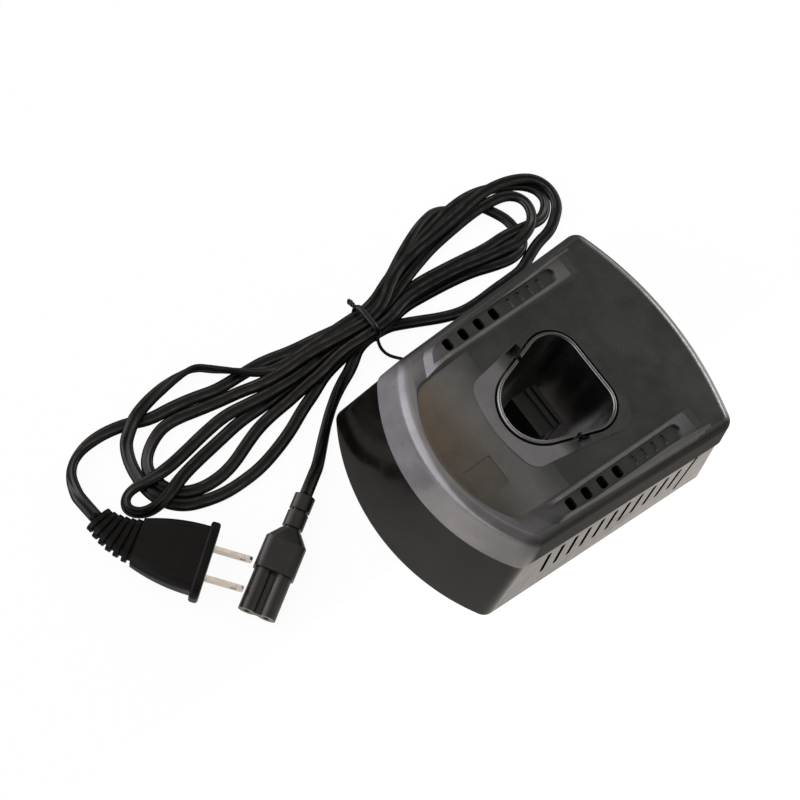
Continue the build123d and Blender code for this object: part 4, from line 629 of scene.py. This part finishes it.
def cover_gloss_and_highlight(sheet, place):
    """Gloss: full on the top and the rolled front, none on the grained sides, found by how near a spot lies
    to the leaning side walls, and less under the painted highlight. Painted highlight, a paler tone that
    stands in for reflected light: the land in front of the battery opening, found as what stands above a
    plane laid on the ramp, the rolled lip, found as what lies in front of a parabola, with the corners at its
    ends, and the rails' tops, found by height. On the lip it is a painted reflection."""
    x, y, z = sheet.parts(place)
    across = sheet.math("ABSOLUTE", x)
    side = sheet.plus(sheet.minus(across, sheet.times(y, SIDE_TAPER)), sheet.times(z, SIDE_LEAN))
    gloss = sheet.larger(sheet.range(side, *GLOSS_EDGE), sheet.range(y, *GLOSS_FRONT))
    above = sheet.range(sheet.minus(z, sheet.times(y, LAND_SLOPE)), *LAND_HEIGHT)
    land = sheet.times(above, sheet.range(y, *LAND_REAR), sheet.range(across, *LAND_SIDES))
    bowed = sheet.minus(y, sheet.times(x, x, LIP_BOW))
    lip = sheet.times(sheet.range(bowed, *LIP_EDGE), sheet.range(x, *LIP_ACROSS))
    corner = sheet.times(sheet.range(across, *CORNER_SIDES), sheet.range(y, *CORNER_REAR),
                         sheet.range(x, *CORNER_ACROSS))
    lip = sheet.times(sheet.larger(lip, corner), gloss)
    gloss = sheet.times(gloss, sheet.range(lip, 0.0, 1.0, 1.0, LIP_GLOSS), sheet.range(corner, *CORNER_GLOSS))
    rails = sheet.times(sheet.range(z, *RAIL_HEIGHT), sheet.range(across, *RAIL_SIDES),
                        sheet.range(y, *RAIL_REAR), gloss)
    # painted highlight: land, rails and the lip's painted reflection
    painted_highlight = sheet.larger(sheet.larger(land, rails), sheet.times(lip, LIP_HIGHLIGHT))
    cloud = sheet.placed(CLOUD, Place=place, Least=0.75)[0]
    return sheet.times(gloss, cloud), sheet.times(painted_highlight, cloud)


def rim_gloss_and_highlight(sheet, place):
    """Painted highlight on the front of the rim: a paler tone on what is high and far enough forward."""
    _, y, z = sheet.parts(place)
    cloud = sheet.placed(CLOUD, Place=place, Least=0.6)[0]
    return cloud, sheet.times(sheet.range(z, *RIM_HEIGHT), sheet.range(y, *RIM_FRONT), cloud)


def metal(name, colour, rough, streak=(60.0, 60.0, 2600.0)):
    """Drawn or stamped metal: fine streaks one way, and dulled darker spots."""
    sheet, shader, place = begin(name, Metallic=1.0)
    lines = sheet.noise(sheet.stretch(place, streak), 1.0, 3.0, 0.6)
    spots = sheet.range(sheet.noise(place, 320.0, 4.0, 0.65), 0.5, 0.72)
    dull = tuple(0.75 * part for part in colour[:3]) + (1.0,)
    roughness = sheet.plus(sheet.range(lines, 0.3, 0.7, rough - 0.05, rough + 0.08), sheet.times(spots, 0.12))
    fill(sheet, shader, Base_Color=sheet.mix(spots, colour, dull), Roughness=roughness,
         Normal=sheet.bump(lines, 0.00001))


def cord_jacket():
    """Extruded jacket: long faint streaks along the cord, tiny pits, and a painted highlight that pales each
    core's crown in places."""
    sheet, shader, along = begin("cord_jacket", uv_map="along", Specular_IOR_Level=0.2)
    streak = sheet.noise(sheet.stretch(along, (0.35, 26.0, 1.0)), 1.0, 3.0, 0.6)
    pits = sheet.noise(sheet.stretch(along, (40.0, 90.0, 1.0)), 1.0, 2.0, 0.5)
    colour = sheet.mix(streak, tone(0.0015), tone(0.004))
    off = sheet.math("ABSOLUTE", sheet.minus(sheet.parts(along)["Y"], 0.5))
    off = sheet.math("ABSOLUTE", sheet.minus(off, CROWN_AT))
    patches = sheet.noise(sheet.stretch(along, (1.3, 3.0, 1.0)), 1.0, 3.0, 0.6)
    # painted highlight along each core's crown
    crown_highlight = sheet.times(sheet.range(off, *CROWN_EDGE), sheet.range(patches, 0.40, 0.62, 0.15, 0.9))
    colour = sheet.mix(crown_highlight, colour, tone(CROWN_HIGHLIGHT_TONE))
    height = sheet.plus(sheet.times(streak, 0.7), sheet.times(pits, 0.5))
    fill(sheet, shader, Base_Color=colour, Roughness=sheet.range(streak, 0.3, 0.7, 0.20, 0.32),
         Normal=sheet.bump(height, 0.00003))


def board_laminate():
    """Glass laminate under green lacquer: tracks stand up a little as paler bands, with tinned pads and weave
    below."""
    sheet, shader, place = begin("board_laminate", Coat_Weight=0.35, Coat_Roughness=0.2)
    cells = {"Vector": sheet.stretch(place, (1.0, 1.0, 0.05)), "Scale": 165.0, "Randomness": 0.75}
    tracks = sheet.add("ShaderNodeTexVoronoi", cells, distance="MANHATTAN", feature="DISTANCE_TO_EDGE")
    copper = sheet.range(tracks, 0.10, 0.16, 1.0, 0.0)
    tin = sheet.range(sheet.add("ShaderNodeTexVoronoi", cells), 0.16, 0.19, 1.0, 0.0)
    weave = sheet.noise(sheet.stretch(place, (1500.0, 1500.0, 200.0)), 1.0, 2.0, 0.5)
    green = sheet.mix(weave, (0.006, 0.055, 0.018, 1), (0.010, 0.080, 0.026, 1))
    colour = sheet.mix(copper, green, (0.022, 0.15, 0.04, 1))
    colour = sheet.mix(tin, colour, (0.48, 0.47, 0.44, 1))
    height = sheet.plus(copper, sheet.plus(tin, sheet.times(weave, 0.2)))
    fill(sheet, shader, Base_Color=colour, Roughness=sheet.range(weave, 0, 1, 0.28, 0.42), Metallic=tin,
         Normal=sheet.bump(height, 0.00005))


def core_steel():
    """Stack of thin varnished steel sheets: fine lines across it, with rust-brown varnish in places."""
    sheet, shader, place = begin("core_steel", Metallic=0.85)
    sheets = sheet.wave(place, 320.0, 0.4, bands_direction="Y")
    varnish = sheet.range(sheet.noise(place, 130.0, 4.0, 0.6), 0.45, 0.65)
    colour = sheet.mix(sheets, (0.12, 0.12, 0.125, 1), (0.30, 0.30, 0.31, 1))
    colour = sheet.mix(varnish, colour, (0.16, 0.10, 0.06, 1))
    fill(sheet, shader, Base_Color=colour, Roughness=sheet.range(varnish, 0, 1, 0.36, 0.55),
         Normal=sheet.bump(sheets, 0.00008))


def winding_tape():
    """Layers of yellow film tape round the coil: overlapped edges as steps, with small wrinkles."""
    sheet, shader, place = begin("winding_tape", Coat_Weight=0.3, Coat_Roughness=0.15)
    laps = sheet.wave(place, 42.0, 0.6, bands_direction="Z", wave_profile="SAW")
    wrinkle = sheet.noise(sheet.stretch(place, (260.0, 260.0, 900.0)), 1.0, 3.0, 0.55)
    colour = sheet.mix(laps, (0.50, 0.30, 0.035, 1), (0.62, 0.42, 0.07, 1))
    height = sheet.plus(laps, sheet.times(wrinkle, 0.5))
    fill(sheet, shader, Base_Color=colour, Roughness=sheet.range(wrinkle, 0.3, 0.7, 0.26, 0.44),
         Normal=sheet.bump(height, 0.00008))


def capacitor_sleeve():
    """Shrunk film over a can: a pale stripe down one side of each and fine drawn wrinkles."""
    sheet, shader, place = begin("capacitor_sleeve", Coat_Weight=0.4, Coat_Roughness=0.12)
    stripe = sheet.range(sheet.wave(place, 26.0, 0.0, bands_direction="X"), 0.93, 0.96)
    wrinkle = sheet.noise(sheet.stretch(place, (300.0, 300.0, 1400.0)), 1.0, 3.0, 0.55)
    colour = sheet.mix(wrinkle, (0.010, 0.013, 0.030, 1), (0.016, 0.022, 0.050, 1))
    colour = sheet.mix(stripe, colour, (0.30, 0.31, 0.33, 1))
    fill(sheet, shader, Base_Color=colour, Roughness=sheet.range(wrinkle, 0.3, 0.7, 0.22, 0.38),
         Normal=sheet.bump(wrinkle, 0.00004))


def choke_ferrite():
    """Lacquered iron-powder ring with copper turns over it: turns as ridges round the ring's axis."""
    sheet, shader, place = begin("choke_ferrite")
    low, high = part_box("choke")
    centred = sheet.add("ShaderNodeMapping", {"Vector": place, "Location": tuple(-(low + high) / 2),
                                              "Rotation": (0.0, math.pi / 2, 0.0)}, vector_type="POINT")
    turns = sheet.add("ShaderNodeTexGradient", {"Vector": centred}, gradient_type="RADIAL")
    ridge = sheet.math("SINE", sheet.times(turns, 2 * math.pi * CHOKE_TURNS))
    copper = sheet.range(ridge, -0.55, -0.2)
    speck = sheet.noise(place, 900.0, 3.0, 0.6)
    colour = sheet.mix(speck, (0.012, 0.075, 0.045, 1), (0.02, 0.11, 0.07, 1))
    colour = sheet.mix(copper, colour, (0.42, 0.13, 0.035, 1))
    height = sheet.plus(ridge, sheet.times(speck, 0.2))
    fill(sheet, shader, Base_Color=colour, Roughness=sheet.range(speck, 0.3, 0.7, 0.28, 0.46),
         Normal=sheet.bump(height, 0.00015))


def fuse_body():
    """Fuse tube: milky glass in the middle and nickel caps at both ends."""
    sheet, shader, place = begin("fuse_body", Coat_Weight=0.5, Coat_Roughness=0.08)
    low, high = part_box("fuse")
    along = sheet.parts(place)["Y"]
    stop, glass_from = FUSE_CAP
    cap = sheet.plus(sheet.range(along, low.y + stop, low.y + glass_from, 1.0, 0.0),
                     sheet.range(along, high.y - glass_from, high.y - stop))
    cloud = sheet.noise(place, 500.0, 3.0, 0.6)
    glass = sheet.mix(cloud, (0.52, 0.54, 0.52, 1), (0.66, 0.68, 0.66, 1))
    colour = sheet.mix(cap, glass, (0.60, 0.58, 0.55, 1))
    fill(sheet, shader, Base_Color=colour, Metallic=cap, Roughness=sheet.range(cloud, 0.3, 0.7, 0.18, 0.32),
         Normal=sheet.bump(cloud, 0.00003))


def foot_rubber():
    """Moulded rubber: chalky, with dust in its pores."""
    sheet, shader, place = begin("foot_rubber")
    pores = sheet.noise(place, 2100.0, 3.0, 0.65)
    dust = sheet.range(sheet.noise(place, 210.0, 4.0, 0.6), 0.45, 0.7)
    colour = sheet.mix(dust, tone(0.028), tone(0.085, 0.05))
    fill(sheet, shader, Base_Color=colour, Roughness=sheet.range(pores, 0.3, 0.7, 0.72, 0.9),
         Normal=sheet.bump(pores, 0.00006))


# ================================================================== what each node is made of
moulded("housing_plastic", 0.002, 0.007, 0.20, depth=0.000004, warm=0.16, marks=0.6, sheen=0.15)
moulded("cover_plastic", 0.006, 0.016, 0.34, warm=0.04, sheen=0.3, gloss_and_highlight=cover_gloss_and_highlight)
moulded("well_plastic", 0.003, 0.010, 0.24, grain=1900.0, marks=0.4, gloss_and_highlight=rim_gloss_and_highlight)
moulded("block_plastic", 0.005, 0.014, 0.40, grain=1900.0, sheen=0.35)
moulded("bobbin_plastic", 0.34, 0.46, 0.42, grain=1700.0, warm=0.05, marks=0.2)
moulded("chip_plastic", 0.018, 0.040, 0.55, grain=2600.0, depth=0.00002, marks=0.3)
moulded("inlet_plastic", 0.010, 0.026, 0.30, grain=1900.0, marks=0.3)
moulded("lead_jacket", 0.50, 0.62, 0.36, grain=2400.0, marks=0.2)
moulded("plug_plastic", 0.003, 0.008, 0.42, marks=0.4, warm=0.05, sheen=0.09)
moulded("connector_plastic", 0.007, 0.018, 0.36, grain=1700.0, warm=0.05, sheen=0.45)
moulded("tie_plastic", 0.003, 0.009, 0.34, grain=2600.0, marks=0.2, sheen=0.25)
metal("contact_metal", (0.62, 0.60, 0.56, 1), 0.28)
metal("sink_aluminium", (0.56, 0.57, 0.58, 1), 0.38, streak=(900.0, 900.0, 40.0))
metal("pin_metal", (0.64, 0.62, 0.58, 1), 0.22, streak=(1200.0, 60.0, 1200.0))
metal("screw_steel", (0.50, 0.50, 0.52, 1), 0.30, streak=(900.0, 900.0, 300.0))
metal("blade_metal", (0.74, 0.70, 0.67, 1), 0.20, streak=(700.0, 700.0, 1600.0))
metal("terminal_brass", (0.62, 0.46, 0.20, 1), 0.26, streak=(900.0, 900.0, 900.0))
for make in (board_laminate, core_steel, winding_tape, capacitor_sleeve, choke_ferrite, fuse_body,
             foot_rubber, cord_jacket):
    make()

SLOT_OF = {entry["node"]: entry["material_slot"] for entry in frame["record"]["subparts"]}


def dress(obj, slot):
    """Gives an object one finish in place of what it came with."""
    obj.data.materials.clear()
    obj.data.materials.append(FINISHES[slot])


for node_name, node in nodes.items():
    dress(node, SLOT_OF[node_name])

cord, cord_line = mains_cord()
dress(cord, "cord_jacket")
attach(cord, "root")
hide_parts("mains_cord_plug_end", "mains_cord_connector_end", "cord_hank")

tie = twist_tie()
dress(tie, "tie_plastic")
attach(tie, "root")
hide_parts("twist_tie")


# ================================================================== studio
WHITE = (1, 1, 1, 1)
FLOOR_HALF = 6.0            # metres
FLOOR_TONES = ((0.86, 0.85, 0.84, 1), (0.89, 0.88, 0.87, 1))
FLOOR_WHITE = 0.95          # share of its own white where the floor is seen
FLOOR_MIRRORED = (1.0, 0.93, 0.86, 1)
FLOOR_SHADE = (-0.075, 0.030, 0.15, 1.15)   # metres across, and the mirrored white's strength at each
# The sky's places are parts of a unit direction: x to the right, y to the rear, z up. A pair gives where a
# patch begins and where it is full.
SKY_DIM = (0.17, 0.18, 0.155, 1)
SKY_PALE = (0.95, 0.92, 0.88, 1)
PALE_REAR = (0.38, 0.24)
SKY_WARM = (1.05, 0.72, 0.42, 1)
WARM_REAR = (0.22, 0.05)
WARM_ACROSS = (-0.08, -0.18)
BAND_LEFT = (3.8, 3.7, 4.1, 1)
BAND_RIGHT = (2.0, 1.9, 1.8, 1)
BAND_ACROSS = (-0.8, 0.6)   # from the left colour to the right one
BAND_FOOT = (-0.20, -0.05)
BAND_TOP = (0.95, 0.88)     # at BAND_MIDDLE; it comes down by as much as it goes to the right
BAND_MIDDLE = -0.2
BAND_REAR = (0.0, -0.25)
SKY_SIDES = (0.85, 0.87, 0.80, 1)
SIDES_MIDDLE = -0.185       # the pale sides lie evenly about this
SIDES_APART = (0.30, 0.50)
SIDES_REAR = (0.10, 0.25)
SKY_REAR = (1.5, 1.5, 1.45, 1)
REAR_FROM = (0.72, 0.84)
WINDOW_PLACE = (0.10, 1.30, 0.78)   # metres
WINDOW_TARGET = (0, 0, 0.03)
WINDOW_SIZE = (0.70, 0.30)
WINDOW_POWER = 4.0          # watts
CAMERA_TURN = 26.3          # degrees
CAMERA_RAISED = 65.3
CAMERA_ROLL = 28.8
CAMERA_AIM = (-45.4, -31.0, 0.0)    # millimetres
CAMERA_DISTANCE = 547.2
CAMERA_LENS = 54.0
CAMERA_SENSOR = 36.0


def pale_floor():
    """Wide pale table top that keeps the shadows: a plain diffuse surface, with its own white added where it
    is seen directly or in a reflection. In reflections that white is warmer, and it dims to the left."""
    mesh = bpy.data.meshes.new("floor")
    corners = [(x * FLOOR_HALF, y * FLOOR_HALF, 0) for x, y in ((-1, -1), (1, -1), (1, 1), (-1, 1))]
    mesh.from_pydata(corners, [], [(0, 1, 2, 3)])
    floor = in_scene("floor", mesh)
    made = bpy.data.materials.new("pale_floor")
    made.use_nodes = True
    made.node_tree.nodes.clear()
    sheet = Sheet(made.node_tree)
    place = sheet.add("ShaderNodeTexCoord", {}, out="Object")
    diffuse = sheet.add("ShaderNodeBsdfDiffuse",
                        {"Color": sheet.mix(sheet.noise(place, 60.0, 3.0, 0.5), *FLOOR_TONES)})
    rays = sheet.node("ShaderNodeLightPath", {}).outputs
    direct = sheet.larger(rays["Is Camera Ray"], rays["Is Transmission Ray"])
    shade = sheet.range(sheet.parts(place)["X"], *FLOOR_SHADE)
    glow = sheet.add("ShaderNodeEmission", {"Color": sheet.mix(direct, FLOOR_MIRRORED, WHITE),
                                            "Strength": sheet.larger(direct, shade)})
    seen = sheet.times(sheet.larger(direct, rays["Is Glossy Ray"]), FLOOR_WHITE)
    mixed = sheet.add("ShaderNodeMixShader", {0: seen, 1: diffuse, 2: glow})
    sheet.node("ShaderNodeOutputMaterial", {"Surface": mixed})
    floor.data.materials.append(made)


def sky():
    """World light by direction: a bright cool band in front, which is dimmer to the right, a warm patch above
    it on the left, a pale strip overhead, pale sides, a bright rear, a dim room elsewhere, and white where
    the camera looks straight at it."""
    world = bpy.data.worlds.new("room")
    bpy.context.scene.world = world
    world.use_nodes = True
    world.node_tree.nodes.clear()
    sheet = Sheet(world.node_tree)
    x, y, z = sheet.parts(sheet.add("ShaderNodeTexCoord", {}, out="Generated"))
    room = sheet.mix(sheet.range(y, *PALE_REAR), SKY_DIM, SKY_PALE)
    warm = sheet.mix(sheet.range(x, *WARM_ACROSS), SKY_DIM, SKY_WARM)
    room = sheet.mix(sheet.range(y, *WARM_REAR), room, warm)
    slant = sheet.plus(z, sheet.minus(x, BAND_MIDDLE))
    band = sheet.times(sheet.range(z, *BAND_FOOT), sheet.range(slant, *BAND_TOP), sheet.range(y, *BAND_REAR))
    room = sheet.mix(band, room, sheet.mix(sheet.range(x, *BAND_ACROSS), BAND_LEFT, BAND_RIGHT))
    beside = sheet.math("ABSOLUTE", sheet.minus(x, SIDES_MIDDLE))
    beside = sheet.times(sheet.range(beside, *SIDES_APART), sheet.range(y, *SIDES_REAR))
    room = sheet.mix(beside, room, SKY_SIDES)
    room = sheet.mix(sheet.range(y, *REAR_FROM), room, SKY_REAR)
    seen = sheet.add("ShaderNodeLightPath", {}, out="Is Camera Ray")
    background = sheet.add("ShaderNodeBackground", {"Color": sheet.mix(seen, room, WHITE), "Strength": 1.0})
    sheet.node("ShaderNodeOutputWorld", {"Surface": background})


def window():
    """Weak rectangular lamp high behind the casing."""
    lamp = bpy.data.lights.new("window", "AREA")
    lamp.shape = "RECTANGLE"
    lamp.size, lamp.size_y = WINDOW_SIZE
    lamp.energy = WINDOW_POWER
    obj = in_scene("window", lamp)
    obj.location = WINDOW_PLACE
    toward = Vector(WINDOW_TARGET) - Vector(WINDOW_PLACE)
    obj.rotation_euler = toward.to_track_quat("-Z", "Y").to_euler()


def camera():
    """Camera on a sphere round its aim: turned about Z, raised, then rolled about its own axis."""
    turn, raised, roll = (math.radians(angle) for angle in (CAMERA_TURN, CAMERA_RAISED, CAMERA_ROLL))
    right = Vector((math.cos(turn), math.sin(turn), 0))
    back = Vector((math.sin(turn) * math.cos(raised), -math.cos(turn) * math.cos(raised), math.sin(raised)))
    up = back.cross(right)
    x = math.cos(roll) * right + math.sin(roll) * up
    y = -math.sin(roll) * right + math.cos(roll) * up
    data = bpy.data.cameras.new("camera")
    data.lens, data.sensor_width = CAMERA_LENS, CAMERA_SENSOR
    obj = in_scene("camera", data)
    obj.matrix_world = Matrix((x, y, back)).transposed().to_4x4()
    obj.matrix_world.translation = Vector(CAMERA_AIM) * MM + back * CAMERA_DISTANCE * MM
    bpy.context.scene.camera = obj


pale_floor()
sky()
window()
camera()
bpy.context.scene.view_settings.view_transform = "Standard"
